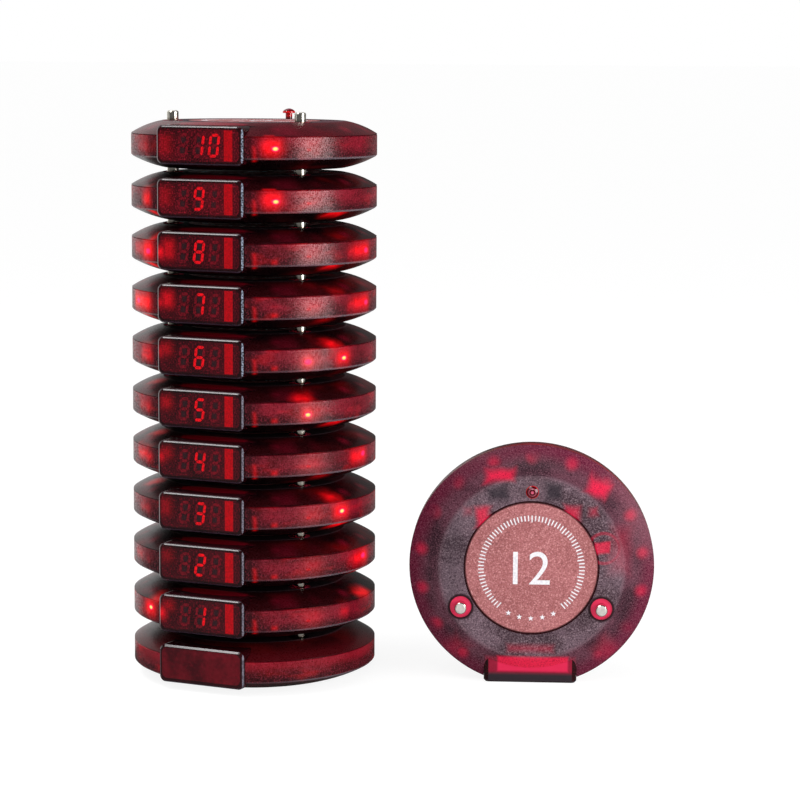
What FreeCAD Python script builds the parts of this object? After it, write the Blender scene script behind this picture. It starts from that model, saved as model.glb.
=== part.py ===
"""Guest pager set: ten numbered coaster pagers stacked on their charging base, and one pager standing beside it.

Every pager is modelled once, in its own frame: underside at z = 0, +Z up, display block facing -Y. The base
shares that outline. The set's frame has its origin on the surface that the base stands on, below the stack's axis.
"""

import FreeCAD, Part

import math
import os
import re

import Sketcher
from FreeCAD import Placement, Rotation, Vector

PAGER_COUNT = 10
LEDS_EACH_SIDE = 7

# alias, millimetres or degrees, what it is
DRIVING = (
    ("rim_radius", 50.0, "outer wall of a pager"),
    ("plateau_radius", 37.5, "flat middle of the top and of the underside"),
    ("pager_height", 18.65, "underside to top plateau"),
    ("wall_foot", 4.8, "height where the lower dome meets the wall"),
    ("foot_bevel", 0.6, "bevel between the lower dome and the wall"),
    ("seam_height", 13.4, "parting line between case and cover"),
    ("seam_groove", 0.25, "chamfer each side of the parting line"),
    ("upper_dome_radius", 34.6, "section radius of the cover's dome"),
    ("lower_dome_radius", 44.0, "section radius of the case's dome"),
    ("wall", 2.0, "shell thickness"),
    ("lip_height", 1.5, "cover's lip inside the case"),
    ("lip_thickness", 1.5, "cover's lip"),
    ("lip_gap", 0.15, "lip to the inside of the case"),
    ("stack_gap", 2.19, "top plateau to the underside of the next pager"),
    ("window_setback", 2.0, "display block's face behind the outer wall"),
    ("window_width", 38.0, "display block"),
    ("window_foot", 2.2, "underside to the display block's lower edge"),
    ("window_drop", 1.15, "top plateau to the display block's upper edge"),
    ("window_corner", 2.5, "display block's corner radius"),
    ("window_depth", 11.0, "display block, face to back"),
    ("window_wall", 1.5, "display block's side walls"),
    ("window_front", 2.0, "display block's front wall"),
    ("window_bevel", 0.7, "bevel round the display block's face"),
    ("window_gap", 0.1, "display block to the shells"),
    ("label_radius", 27.0, "label disc"),
    ("label_gap", 0.15, "label disc to its recess"),
    ("label_thickness", 0.4, "label disc"),
    ("pin_ring", 33.1, "axis to a charging pin"),
    ("pin_angle", 60.0, "display block's direction to a charging pin"),
    ("pin_radius", 2.38, "charging pin above the cover"),
    ("pin_height", 4.0, "charging pin above the plateau"),
    ("pin_edge", 0.6, "bevel round the top of a charging pin"),
    ("pin_neck_radius", 2.0, "charging pin inside the cover"),
    ("pin_gap", 0.1, "charging pin's neck to its hole"),
    ("pin_collar_radius", 3.4, "collar under the cover"),
    ("pin_collar", 1.0, "collar's thickness"),
    ("pin_shank_radius", 1.5, "charging pin below its collar"),
    ("ring_radius", 4.3, "shallow recess round a charging pin"),
    ("ring_depth", 0.4, "shallow recess round a charging pin"),
    ("socket_radius", 2.9, "socket for a charging pin"),
    ("socket_boss_wall", 1.6, "plastic round a socket's contact"),
    ("socket_boss_height", 2.4, "socket's boss above the floor"),
    ("contact_radius", 2.6, "contact's disc"),
    ("contact_gap", 0.1, "contact to the case"),
    ("contact_thickness", 0.8, "contact's disc"),
    ("contact_stem_radius", 1.2, "contact's stem"),
    ("button_ring", 31.8, "axis to the push-button, opposite the display block"),
    ("button_cap_radius", 2.6, "push-button's cap"),
    ("button_cap_height", 1.9, "push-button's cap"),
    ("button_cap_dome", 1.2, "domed part of the cap's height"),
    ("button_stem_radius", 1.4, "push-button's stem"),
    ("button_height", 4.4, "plateau to the cap's crown"),
    ("button_travel", 0.8, "push-button's travel"),
    ("button_gap", 0.3, "stem to its hole, and cap to its relief"),
    ("button_rest_gap", 0.05, "flange to the cover's underside at rest"),
    ("button_flange_radius", 2.9, "flange that keeps the button in"),
    ("button_flange", 0.8, "flange's thickness"),
    ("button_plunger", 0.7, "plunger below the flange"),
    ("relief_wall", 1.5, "plastic round and above the cap's relief"),
    ("rest_pad_radius", 1.6, "rest pad under a stacked pager"),
    ("rest_pad_angle", 20.0, "push-button's direction to a rest pad"),
    ("board_gap", 3.0, "pager's circuit board to the inside of the wall"),
    ("board_thickness", 1.6, "circuit boards"),
    ("board_seat", 8.6, "underside to the pager's circuit board"),
    ("board_notch_half", 20.5, "notch for the display block, half width"),
    ("board_notch_gap", 1.5, "display block's back to the notch"),
    ("base_board_gap", 0.3, "base's circuit board to the inside of the lower dome"),
    ("base_board_seat", 3.6, "underside to the base's circuit board"),
    ("screw_ring", 36.0, "axis to a case screw"),
    ("screw_front_angle", 32.0, "display block's direction to a front screw"),
    ("screw_rear_angle", 129.2, "display block's direction to a rear screw"),
    ("screw_radius", 1.05, "case screw's shank"),
    ("screw_roof_gap", 1.85, "case screw's tip to the underside of the plateau"),
    ("screw_head_radius", 2.0, "case screw's head"),
    ("screw_head", 1.4, "case screw's head height"),
    ("screw_seat", 1.8, "underside to the screw head's seat"),
    ("screw_recess_gap", 0.4, "screw head to its recess"),
    ("screw_clearance", 0.25, "shank to the case and the board"),
    ("screw_pilot_gap", 0.05, "shank to the cover's boss"),
    ("screw_tip_gap", 0.6, "screw tip to the pilot hole's end"),
    ("case_boss_radius", 3.2, "case boss"),
    ("cover_boss_radius", 2.5, "cover boss"),
    ("led_inset", 1.0, "circuit board's edge to the middle of a light"),
    ("led_angle", 20.33, "from light to light"),
    ("led_width", 3.2, "light, along the rim"),
    ("led_depth", 1.6, "light, across the rim"),
    ("led_height", 1.8, "light"),
    ("display_gap", 0.4, "display module to the display block"),
    ("display_depth", 6.0, "display module"),
    ("display_board", 1.2, "display module's board"),
    ("header_width", 16.0, "board-to-board connector"),
    ("header_height", 2.5, "board-to-board connector"),
    ("header_reach", 4.0, "connector over the main board"),
    ("battery_length", 40.0, "battery pack"),
    ("battery_width", 30.0, "battery pack"),
    ("battery_thickness", 5.0, "battery pack"),
    ("battery_place", 1.0, "battery pack's middle behind the axis"),
    ("battery_lead_place", 10.0, "battery pack's middle to its leads"),
    ("lead_radius", 0.6, "battery and motor leads"),
    ("lead_spacing", 3.0, "between the two leads"),
    ("motor_radius", 6.0, "vibration motor"),
    ("motor_thickness", 3.4, "vibration motor"),
    ("buzzer_radius", 6.4, "buzzer"),
    ("buzzer_gap", 0.45, "buzzer to the underside of the plateau"),
    ("buzzer_hole_radius", 1.0, "buzzer's sound hole"),
    ("side_part_x", 29.3, "buzzer and motor, to the side of the axis"),
    ("side_part_y", 6.4, "buzzer and motor, behind the axis"),
    ("switch_width", 6.0, "switch under the push-button"),
    ("switch_gap", 0.1, "pressed push-button to the switch's knob"),
    ("switch_knob_radius", 1.5, "switch's own knob"),
    ("switch_knob", 0.8, "switch's own knob"),
    ("chip_width", 7.0, "controller chip"),
    ("chip_height", 1.2, "every chip"),
    ("chip_side", 12.0, "controller chip, to the side of the axis"),
    ("chip_rear", 2.0, "controller chip, behind the axis"),
    ("radio_width", 5.0, "radio chip"),
    ("radio_side", 8.0, "radio chip, to the side of the axis"),
    ("radio_front", 10.0, "radio chip, in front of the axis"),
    ("aerial_radius", 1.5, "coil aerial"),
    ("aerial_length", 14.0, "coil aerial"),
    ("aerial_side", 10.0, "coil aerial, to the side of the axis"),
    ("aerial_rear", 20.0, "coil aerial, behind the axis"),
    ("foot_pad_radius", 31.0, "base's rubber pad"),
    ("foot_pad_thickness", 1.4, "base's rubber pad"),
    ("foot_pad_proud", 0.8, "rubber pad below the base's underside"),
    ("foot_pad_gap", 0.15, "rubber pad to its recess"),
    ("jack_width", 9.0, "power inlet"),
    ("jack_height", 6.6, "power inlet"),
    ("jack_depth", 13.0, "power inlet"),
    ("jack_inset", 0.8, "power inlet's face behind the outer wall"),
    ("jack_gap", 0.15, "power inlet to the case"),
    ("jack_bore_radius", 2.8, "power inlet's bore"),
    ("jack_bore_depth", 9.5, "power inlet's bore"),
    ("jack_pin_radius", 1.0, "power inlet's centre pin"),
    ("jack_pin_recess", 1.0, "inlet's face to its centre pin"),
    ("regulator_width", 8.0, "charging circuit's chip"),
    ("regulator_side", 8.0, "charging circuit's chip, to the side of the axis"),
    ("regulator_rear", 16.0, "charging circuit's chip, behind the axis"),
    ("coil_radius", 4.0, "charging circuit's inductor"),
    ("coil_height", 4.5, "charging circuit's inductor"),
    ("coil_side", 10.0, "charging circuit's inductor, to the side of the axis"),
    ("coil_rear", 18.0, "charging circuit's inductor, behind the axis"),
    ("loose_x", 107.4, "loose pager's underside centre"),
    ("loose_y", 41.1, "loose pager's underside centre"),
    ("loose_angle", 20.6, "loose pager's turn about the vertical"),
)

DERIVED = (
    ("inner_radius", "rim_radius - wall"),
    ("lip_radius", "inner_radius - lip_gap"),
    ("lip_inner_radius", "lip_radius - lip_thickness"),
    ("roof", "pager_height - wall"),
    ("lip_foot", "seam_height - lip_height"),
    ("stack_pitch", "pager_height + stack_gap"),
    ("window_face", "rim_radius - window_setback"),
    ("window_top", "pager_height - window_drop"),
    ("window_height", "window_top - window_foot"),
    ("window_back", "window_face - window_depth"),
    ("window_cut_start", "rim_radius + wall"),
    ("pin_x", "pin_ring * sin(pin_angle)"),
    ("pin_y", "-pin_ring * cos(pin_angle)"),
    ("socket_depth", "pin_height - stack_gap"),
    ("contact_top", "socket_depth + contact_thickness"),
    ("relief_radius", "button_cap_radius + 2 * button_gap"),
    ("relief_depth", "button_height - stack_gap + button_gap"),
    ("relief_roof", "relief_depth + relief_wall"),
    ("pad_x", "button_ring * sin(rest_pad_angle)"),
    ("pad_y", "button_ring * cos(rest_pad_angle)"),
    ("screw_front_x", "screw_ring * sin(screw_front_angle)"),
    ("screw_front_y", "-screw_ring * cos(screw_front_angle)"),
    ("screw_rear_x", "screw_ring * sin(screw_rear_angle)"),
    ("screw_rear_y", "-screw_ring * cos(screw_rear_angle)"),
    ("screw_tip", "roof - screw_roof_gap"),
    ("screw_length", "screw_tip - screw_seat"),
    ("board_radius", "inner_radius - board_gap"),
    ("board_top", "board_seat + board_thickness"),
    ("led_ring", "board_radius - led_inset"),
    ("base_board_top", "base_board_seat + board_thickness"),
    ("dome_foot_radius", "plateau_radius - wall / 2"),
    ("dome_slope", "(inner_radius - dome_foot_radius) / (wall_foot + wall / 2 - wall)"),
    ("base_board_radius", "dome_foot_radius + dome_slope * (base_board_seat - wall) - base_board_gap"),
    ("notch_front", "window_back - board_notch_gap"),
    ("cap_crown", "pager_height + button_height"),
    ("cap_foot", "cap_crown - button_cap_height"),
    ("cap_dome_radius", "(button_cap_radius ^ 2 + button_cap_dome ^ 2) / (2 * button_cap_dome)"),
    ("flange_top", "roof - button_rest_gap"),
    ("flange_foot", "flange_top - button_flange"),
    ("plunger_foot", "flange_foot - button_plunger"),
    ("switch_height", "plunger_foot - button_travel - switch_gap - switch_knob - board_top"),
    ("buzzer_height", "roof - buzzer_gap - board_top"),
    ("jack_face", "rim_radius - jack_inset"),
    ("jack_axis", "base_board_top + jack_height / 2"),
)

FUNCTIONS = {"sin", "cos"}

doc = FreeCAD.newDocument("guest_pager_set")


def make_sheet():
    """Writes the driving sizes as plain numbers and the derived ones as formulas, each under its alias."""
    made = doc.addObject("Spreadsheet::Sheet", "sizes")
    for line, (alias, value, meaning) in enumerate(DRIVING, 1):
        made.set(f"A{line}", meaning)
        made.set(f"B{line}", str(value))
        made.setAlias(f"B{line}", alias)
    doc.recompute()
    for line, (alias, formula) in enumerate(DERIVED, len(DRIVING) + 2):
        made.set(f"B{line}", "=" + formula)
        made.setAlias(f"B{line}", alias)
        doc.recompute()
    return made


sheet = make_sheet()


def bound(expression):
    """An expression in aliases, as the document's objects read it from the sheet."""
    def name(match):
        word = match.group()
        return word if word in FUNCTIONS else "sizes." + word
    return re.sub(r"[a-z][a-z_]*", name, expression)


def size(expression):
    """The value of an expression in aliases."""
    return float(sheet.evalExpression(bound(expression)))


def bind(thing, **sizes):
    for attribute, expression in sizes.items():
        thing.setExpression(attribute, bound(expression))


def put(thing, x="0", y="0", z="0"):
    """Binds an object's place to the sheet."""
    for axis, expression in zip("xyz", (x, y, z)):
        thing.setExpression("Placement.Base." + axis, bound(expression))


# --- sketches and Part Design features ---------------------------------------------------------------------------


def pin_coordinate(sketch, kind, edge, point, expression):
    """Ties one coordinate of a sketch point to an expression, or to the axis where it is zero."""
    if expression == "0":
        axis = -2 if kind == "DistanceX" else -1
        sketch.addConstraint(Sketcher.Constraint("PointOnObject", edge, point, axis))
        return
    value = size(expression)
    index = sketch.addConstraint(Sketcher.Constraint(kind, -1, 1, edge, point, value))
    sketch.setExpression(f"Constraints[{index}]", bound(expression))


def arc_between(first, last, radius, concave):
    """The short arc from first to last; its centre is to the left of travel, or to the right where it is concave."""
    span = last - first
    left = Vector(-span.y, span.x, 0).normalize()
    reach = math.sqrt(radius ** 2 - (span.Length / 2) ** 2)
    centre = (first + last) / 2 + left * (-reach if concave else reach)
    begin, end = (last, first) if concave else (first, last)
    angles = [math.atan2(p.y - centre.y, p.x - centre.x) for p in (begin, end)]
    return Part.ArcOfCircle(Part.Circle(centre, Vector(0, 0, 1), radius), *angles)


def outline(sketch, corners):
    """Draws a closed outline, anticlockwise. A corner is (x, y), or (x, y, radius, bend) where an arc leaves it."""
    points = [Vector(size(corner[0]), size(corner[1]), 0) for corner in corners]
    starts = []
    ends = []
    for index, corner in enumerate(corners):
        here, there = points[index], points[(index + 1) % len(points)]
        if len(corner) == 2:
            edge = sketch.addGeometry(Part.LineSegment(here, there))
            starts.append((edge, 1))
            ends.append((edge, 2))
            continue
        concave = corner[3] == "concave"
        edge = sketch.addGeometry(arc_between(here, there, size(corner[2]), concave))
        starts.append((edge, 2 if concave else 1))
        ends.append((edge, 1 if concave else 2))
        limit = sketch.addConstraint(Sketcher.Constraint("Radius", edge, size(corner[2])))
        sketch.setExpression(f"Constraints[{limit}]", bound(corner[2]))
    for index, corner in enumerate(corners):
        sketch.addConstraint(Sketcher.Constraint("Coincident", *ends[index - 1], *starts[index]))
        pin_coordinate(sketch, "DistanceX", *starts[index], corner[0])
        pin_coordinate(sketch, "DistanceY", *starts[index], corner[1])


def circles(sketch, rounds):
    """Draws circles, each (x, y, radius)."""
    for x, y, radius in rounds:
        middle = Vector(size(x), size(y), 0)
        edge = sketch.addGeometry(Part.Circle(middle, Vector(0, 0, 1), size(radius)))
        pin_coordinate(sketch, "DistanceX", edge, 3, x)
        pin_coordinate(sketch, "DistanceY", edge, 3, y)
        limit = sketch.addConstraint(Sketcher.Constraint("Radius", edge, size(radius)))
        sketch.setExpression(f"Constraints[{limit}]", bound(radius))


def new_sketch(body, plane, offset="0"):
    """An empty sketch on one of the body's own origin planes, moved along the plane's normal."""
    sketch = body.newObject("Sketcher::SketchObject", body.Name + "_sketch")
    flat = next(feature for feature in body.Origin.OriginFeatures if feature.Role == plane)
    sketch.AttachmentSupport = [(flat, "")]
    sketch.MapMode = "FlatFace"
    sketch.setExpression("AttachmentOffset.Base.z", bound(offset))
    return sketch


def revolve(body, corners):
    """Turns a section in radius and height about the body's vertical axis."""
    sketch = new_sketch(body, "XZ_Plane")
    outline(sketch, corners)
    turned = body.newObject("PartDesign::Revolution", body.Name + "_turned")
    turned.Profile = sketch
    turned.ReferenceAxis = (sketch, ["V_Axis"])
    turned.Angle = 360
    return turned


def extrude(body, kind, sketch, length, reverse=False):
    """A Pad along the sketch's normal, or a Pocket against it; reverse turns either round."""
    feature = body.newObject("PartDesign::" + kind, body.Name + "_" + kind.lower())
    feature.Profile = sketch
    feature.Reversed = reverse
    bind(feature, Length=length)
    return feature


def pad_circles(body, foot, height, rounds):
    sketch = new_sketch(body, "XY_Plane", foot)
    circles(sketch, rounds)
    return extrude(body, "Pad", sketch, height)


def pocket_circles(body, top, depth, rounds):
    sketch = new_sketch(body, "XY_Plane", top)
    circles(sketch, rounds)
    return extrude(body, "Pocket", sketch, depth)


def both_sides(x, y, radius):
    """A circle and its mirror image across the display block's middle plane."""
    return [(x, y, radius), ("-" + x, y, radius)]


def screw_circles(radius):
    front = both_sides("screw_front_x", "screw_front_y", radius)
    return front + both_sides("screw_rear_x", "screw_rear_y", radius)


def rounded_rectangle(half, foot, top, corner):
    """Corners of an upright rectangle, centred on x = 0, with rounded corners."""
    half, corner = f"({half})", f"({corner})"
    return [
        (f"-{half} + {corner}", foot),
        (f"{half} - {corner}", foot, corner, "convex"),
        (half, f"{foot} + {corner}"),
        (half, f"{top} - {corner}", corner, "convex"),
        (f"{half} - {corner}", top),
        (f"-{half} + {corner}", top, corner, "convex"),
        (f"-{half}", f"{top} - {corner}"),
        (f"-{half}", f"{foot} + {corner}", corner, "convex"),
    ]


def new_body(name):
    return doc.addObject("PartDesign::Body", name)


# --- primitives --------------------------------------------------------------------------------------------------


def box(name, length, width, height, x, y, z):
    """A box of length x width x height whose lower face is centred on x, y at height z."""
    made = doc.addObject("Part::Box", name)
    bind(made, Length=length, Width=width, Height=height)
    put(made, f"{x} - ({length}) / 2", f"{y} - ({width}) / 2", z)
    return made


def cylinder(name, radius, height, x, y, z):
    made = doc.addObject("Part::Cylinder", name)
    bind(made, Radius=radius, Height=height)
    put(made, x, y, z)
    return made


def cut(name, base, tool):
    made = doc.addObject("Part::Cut", name)
    made.Base = base
    made.Tool = tool
    return made


def group(name, members, kind="Part::Compound"):
    """Solids that stay apart (Part::Compound) or become one (Part::MultiFuse)."""
    made = doc.addObject(kind, name)
    setattr(made, "Links" if kind == "Part::Compound" else "Shapes", members)
    return made


# --- shells ------------------------------------------------------------------------------------------------------


def window_cut(body):
    """The opening that the display block sits in, cut from outside the rim to the block's back."""
    sketch = new_sketch(body, "XZ_Plane", "window_cut_start")
    half = "window_width / 2 + window_gap"
    outline(sketch, rounded_rectangle(half, "window_foot - window_gap", "window_top + window_gap", "window_corner"))
    extrude(body, "Pocket", sketch, "window_cut_start - window_back + window_gap")


def top_cover(prefix, board_top):
    """Domed cover: plateau with the label's recess, lip inside the case, pin and button holes, screw bosses."""
    body = new_body(prefix + "_cover_shell")
    recess = "label_radius + label_gap"
    revolve(body, [
        ("0", "roof"),
        ("plateau_radius", "roof", "upper_dome_radius - wall", "concave"),
        ("lip_inner_radius", "seam_height + lip_gap"),
        ("lip_inner_radius", "lip_foot"),
        ("lip_radius", "lip_foot"),
        ("lip_radius", "seam_height"),
        ("rim_radius - seam_groove", "seam_height"),
        ("rim_radius", "seam_height + seam_groove", "upper_dome_radius", "convex"),
        ("plateau_radius", "pager_height"),
        (recess, "pager_height"),
        (recess, "pager_height - label_thickness"),
        ("0", "pager_height - label_thickness"),
    ])
    pad_circles(body, board_top, f"roof - {board_top}", screw_circles("cover_boss_radius"))
    window_cut(body)
    pilot_top = "screw_tip + screw_tip_gap"
    pocket_circles(body, pilot_top, f"{pilot_top} - {board_top}", screw_circles("screw_radius + screw_pilot_gap"))
    pocket_circles(body, "pager_height", "ring_depth", both_sides("pin_x", "pin_y", "ring_radius"))
    pocket_circles(body, "pager_height", "2 * wall", both_sides("pin_x", "pin_y", "pin_neck_radius + pin_gap"))
    pocket_circles(body, "pager_height", "2 * wall", [("0", "button_ring", "button_stem_radius + button_gap")])
    return body


def case_section():
    """Case outline: flat underside, lower dome, bevel, straight wall up to the parting line."""
    return [
        ("0", "0"),
        ("plateau_radius", "0", "lower_dome_radius", "convex"),
        ("rim_radius - foot_bevel", "wall_foot - foot_bevel / 2"),
        ("rim_radius", "wall_foot + foot_bevel / 2"),
        ("rim_radius", "seam_height - seam_groove"),
        ("rim_radius - seam_groove", "seam_height"),
        ("inner_radius", "seam_height"),
        ("inner_radius", "wall_foot + wall / 2", "lower_dome_radius - wall", "concave"),
        ("dome_foot_radius", "wall"),
        ("0", "wall"),
    ]


def case_bosses(body, board_seat):
    """Four bosses that carry the board and pass the case screws, whose heads sit in recesses below."""
    pad_circles(body, "wall", f"{board_seat} - wall", screw_circles("case_boss_radius"))
    pocket_circles(body, board_seat, board_seat, screw_circles("screw_radius + screw_clearance"))
    pocket_circles(body, "screw_seat", "screw_seat", screw_circles("screw_head_radius + screw_recess_gap"))


def pager_case():
    """Pager's case, with two contact sockets, the relief for the next button below and two rest pads."""
    body = new_body("pager_case_shell")
    revolve(body, case_section())
    case_bosses(body, "board_seat")
    window_cut(body)
    boss = "socket_radius + socket_boss_wall"
    pad_circles(body, "wall", "socket_boss_height", both_sides("pin_x", "pin_y", boss))
    relief_boss = "relief_radius + relief_wall"
    pad_circles(body, "wall", "relief_roof - wall", [("0", "button_ring", relief_boss)])
    pad_circles(body, "-stack_gap", "stack_gap", both_sides("pad_x", "pad_y", "rest_pad_radius"))
    bores = (
        ("socket_radius", "socket_depth"),
        ("contact_radius + contact_gap", "contact_top"),
        ("contact_stem_radius + contact_gap", "wall + socket_boss_height"),
    )
    for radius, depth in bores:
        pocket_circles(body, depth, depth, both_sides("pin_x", "pin_y", radius))
    pocket_circles(body, "relief_depth", "relief_depth", [("0", "button_ring", "relief_radius")])
    return body


def base_case():
    """Base's case, with a recess for the rubber pad and a window for the power inlet."""
    body = new_body("base_case_shell")
    revolve(body, case_section())
    case_bosses(body, "base_board_seat")
    window_cut(body)
    recess_depth = "foot_pad_thickness - foot_pad_proud"
    pocket_circles(body, recess_depth, recess_depth, [("0", "0", "foot_pad_radius + foot_pad_gap")])
    inlet = new_sketch(body, "XZ_Plane", "-(lip_inner_radius - wall)")
    half = "jack_width / 2 + jack_gap"
    foot = "base_board_top - jack_gap"
    top = "base_board_top + jack_height + jack_gap"
    outline(inlet, [("-(" + half + ")", foot), (half, foot), (half, top), ("-(" + half + ")", top)])
    extrude(body, "Pocket", inlet, "rim_radius")
    return body


def window_block(prefix):
    """Clear block over the display: rounded front, bevelled round its face, hollow from the back."""
    body = new_body(prefix + "_window_block")
    front = new_sketch(body, "XZ_Plane", "window_face")
    outline(front, rounded_rectangle("window_width / 2", "window_foot", "window_top", "window_corner"))
    extrude(body, "Pad", front, "window_depth", reverse=True)
    back = new_sketch(body, "XZ_Plane", "window_back")
    inside = rounded_rectangle(
        "window_width / 2 - window_wall",
        "window_foot + window_wall",
        "window_top - window_wall",
        "window_corner - window_wall",
    )
    outline(back, inside)
    hollow = extrude(body, "Pocket", back, "window_depth - window_front", reverse=True)
    doc.recompute()
    face = min(range(len(hollow.Shape.Faces)), key=lambda i: hollow.Shape.Faces[i].CenterOfMass.y)
    bevel = body.newObject("PartDesign::Chamfer", body.Name + "_bevel")
    bevel.Base = (hollow, [f"Face{face + 1}"])
    bind(bevel, Size="window_bevel")
    return body


# --- small pieces ------------------------------------------------------------------------------------------------


def label_disc(prefix):
    return cylinder(prefix + "_label_disc", "label_radius", "label_thickness", "0", "0", "pager_height - label_thickness")


def charging_pins(prefix, board_top):
    """Two nickel pins: bevelled head on the cover's recess, neck through it, collar below, shank to the board."""
    body = new_body(prefix + "_pin")
    crown = "pager_height + pin_height"
    collar_foot = "roof - pin_collar"
    revolve(body, [
        ("0", board_top),
        ("pin_shank_radius", board_top),
        ("pin_shank_radius", collar_foot),
        ("pin_collar_radius", collar_foot),
        ("pin_collar_radius", "roof"),
        ("pin_neck_radius", "roof"),
        ("pin_neck_radius", "pager_height - ring_depth"),
        ("pin_radius", "pager_height - ring_depth"),
        ("pin_radius", f"{crown} - pin_edge"),
        ("pin_radius - pin_edge", crown),
        ("0", crown),
    ])
    pins = []
    for side, x in (("right", "pin_x"), ("left", "-pin_x")):
        pin = group(f"{prefix}_pin_{side}", [body])
        put(pin, x, "pin_y")
        pins.append(pin)
    return pins


def contact_rivets():
    """Two rivets in the case's sockets, from the socket's roof up to the board."""
    rivets = []
    for side, x in (("right", "pin_x"), ("left", "-pin_x")):
        disc = cylinder(f"contact_disc_{side}", "contact_radius", "contact_thickness",
                        x, "pin_y", "socket_depth")
        stem = cylinder(f"contact_stem_{side}", "contact_stem_radius", "board_seat - socket_depth",
                        x, "pin_y", "socket_depth")
        rivets.append(group(f"contact_rivet_{side}", [disc, stem], "Part::MultiFuse"))
    return rivets


def post(name, foot_corners):
    """A domed cap on a stem, from the given lower corners up."""
    body = new_body(name)
    revolve(body, foot_corners + [
        ("button_stem_radius", "cap_foot"),
        ("button_cap_radius", "cap_foot"),
        ("button_cap_radius", "cap_crown - button_cap_dome", "cap_dome_radius", "convex"),
        ("0", "cap_crown"),
    ])
    placed = group(name + "_placed", [body])
    put(placed, "0", "button_ring")
    return placed


def push_button():
    """Push-button with a flange under the cover and a plunger over the switch."""
    return post("button_post", [
        ("0", "plunger_foot"),
        ("button_stem_radius", "plunger_foot"),
        ("button_stem_radius", "flange_foot"),
        ("button_flange_radius", "flange_foot"),
        ("button_flange_radius", "flange_top"),
        ("button_stem_radius", "flange_top"),
    ])


def guide_post():
    """The base's fixed post, the same to look at: its flange fills the space under the cover."""
    return post("guide_post", [
        ("0", "flange_foot"),
        ("button_flange_radius", "flange_foot"),
        ("button_flange_radius", "roof"),
        ("button_stem_radius", "roof"),
    ])


def case_screws(prefix):
    """Four screws from the underside: head in its recess, shank up into the cover's boss."""
    screws = []
    places = {
        "front_right": ("screw_front_x", "screw_front_y"),
        "front_left": ("-screw_front_x", "screw_front_y"),
        "rear_right": ("screw_rear_x", "screw_rear_y"),
        "rear_left": ("-screw_rear_x", "screw_rear_y"),
    }
    for place, (x, y) in places.items():
        name = f"{prefix}_screw_{place}"
        head = cylinder(name + "_head", "screw_head_radius", "screw_head", x, y, "screw_seat - screw_head")
        shank = cylinder(name + "_shank", "screw_radius", "screw_length + screw_head", x, y, "screw_seat - screw_head")
        screws.append(group(name, [head, shank], "Part::MultiFuse"))
    return screws


def screw_holes(prefix, seat):
    """Tools that clear the screws through a board."""
    holes = []
    for index, (x, y, radius) in enumerate(screw_circles("screw_radius + screw_clearance")):
        holes.append(cylinder(f"{prefix}_hole_{index}", radius, "3 * board_thickness", x, y, f"{seat} - board_thickness"))
    return holes


def round_board(prefix, radius, seat):
    """Round circuit board with a notch for the display block and holes for the case screws."""
    disc = cylinder(prefix + "_disc", radius, "board_thickness", "0", "0", seat)
    notch = box(prefix + "_notch", "2 * board_notch_half", radius, "3 * board_thickness",
                "0", f"-(notch_front + {radius} / 2)", f"{seat} - board_thickness")
    tools = group(prefix + "_tools", [notch] + screw_holes(prefix, seat), "Part::MultiFuse")
    return cut(prefix + "_plate", disc, tools)


def pager_board():
    """Main board with its chips, coil aerial, push-button switch, and the lights round its rim."""
    board = round_board("pager_board", "board_radius", "board_seat")
    controller = box("controller_chip", "chip_width", "chip_width", "chip_height", "-chip_side", "chip_rear", "board_top")
    radio = box("radio_chip", "radio_width", "radio_width", "chip_height", "radio_side", "-radio_front", "board_top")
    aerial = doc.addObject("Part::Cylinder", "coil_aerial")
    bind(aerial, Radius="aerial_radius", Height="aerial_length")
    aerial.Placement = Placement(Vector(), Rotation(Vector(0, 1, 0), 90))
    put(aerial, "aerial_side - aerial_length / 2", "aerial_rear", "board_top + aerial_radius")
    body = box("switch_body", "switch_width", "switch_width", "switch_height", "0", "button_ring", "board_top")
    knob = cylinder("switch_knob_top", "switch_knob_radius", "switch_height + switch_knob",
                    "0", "button_ring", "board_top")
    switch = group("switch", [body, knob], "Part::MultiFuse")
    return [board, controller, radio, aerial, switch]


def rim_lights():
    """Side lights on the main board, evenly spaced both ways from the push-button round to the display block."""
    lights = []
    for place in range(-LEDS_EACH_SIDE, LEDS_EACH_SIDE + 1):
        light = doc.addObject("Part::Box", f"light_{place + LEDS_EACH_SIDE:02d}")
        bind(light, Length="led_width", Width="led_depth", Height="led_height")
        turn = f"({place} * led_angle)"
        inner = "(led_ring - led_depth / 2)"
        put(
            light,
            f"-cos({turn}) * led_width / 2 - sin({turn}) * {inner}",
            f"cos({turn}) * {inner} - sin({turn}) * led_width / 2",
            "board_top",
        )
        light.setExpression("Placement.Rotation.Angle", bound(turn))
        lights.append(light)
    return lights


def display_module():
    """Digit module behind the block's front wall, its own board, and the connector to the main board."""
    width = "window_width - 2 * window_wall - 2 * display_gap"
    height = "window_height - 2 * window_wall - 2 * display_gap"
    foot = "window_foot + window_wall + display_gap"
    front = "(window_face - window_front)"
    digits = box("display_digits", width, "display_depth", height, "0", f"-{front} + display_depth / 2", foot)
    board_front = f"({front} - display_depth)"
    board = box("display_board_plate", width, "display_board", height, "0", f"-{board_front} + display_board / 2", foot)
    back = f"({board_front} - display_board)"
    reach = f"({back} - notch_front + header_reach)"
    header = box("display_header", "header_width", reach, "header_height",
                 "0", f"-{back} + {reach} / 2", "board_top")
    return [digits, board, header]


def leads(name, x, y, foot):
    """A pair of short leads from a piece on the floor up to the board."""
    pair = []
    for side, shift in (("left", "- lead_spacing / 2"), ("right", "+ lead_spacing / 2")):
        pair.append(cylinder(f"{name}_lead_{side}", "lead_radius", f"board_seat - ({foot})", f"{x} {shift}", y, foot))
    return pair


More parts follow.
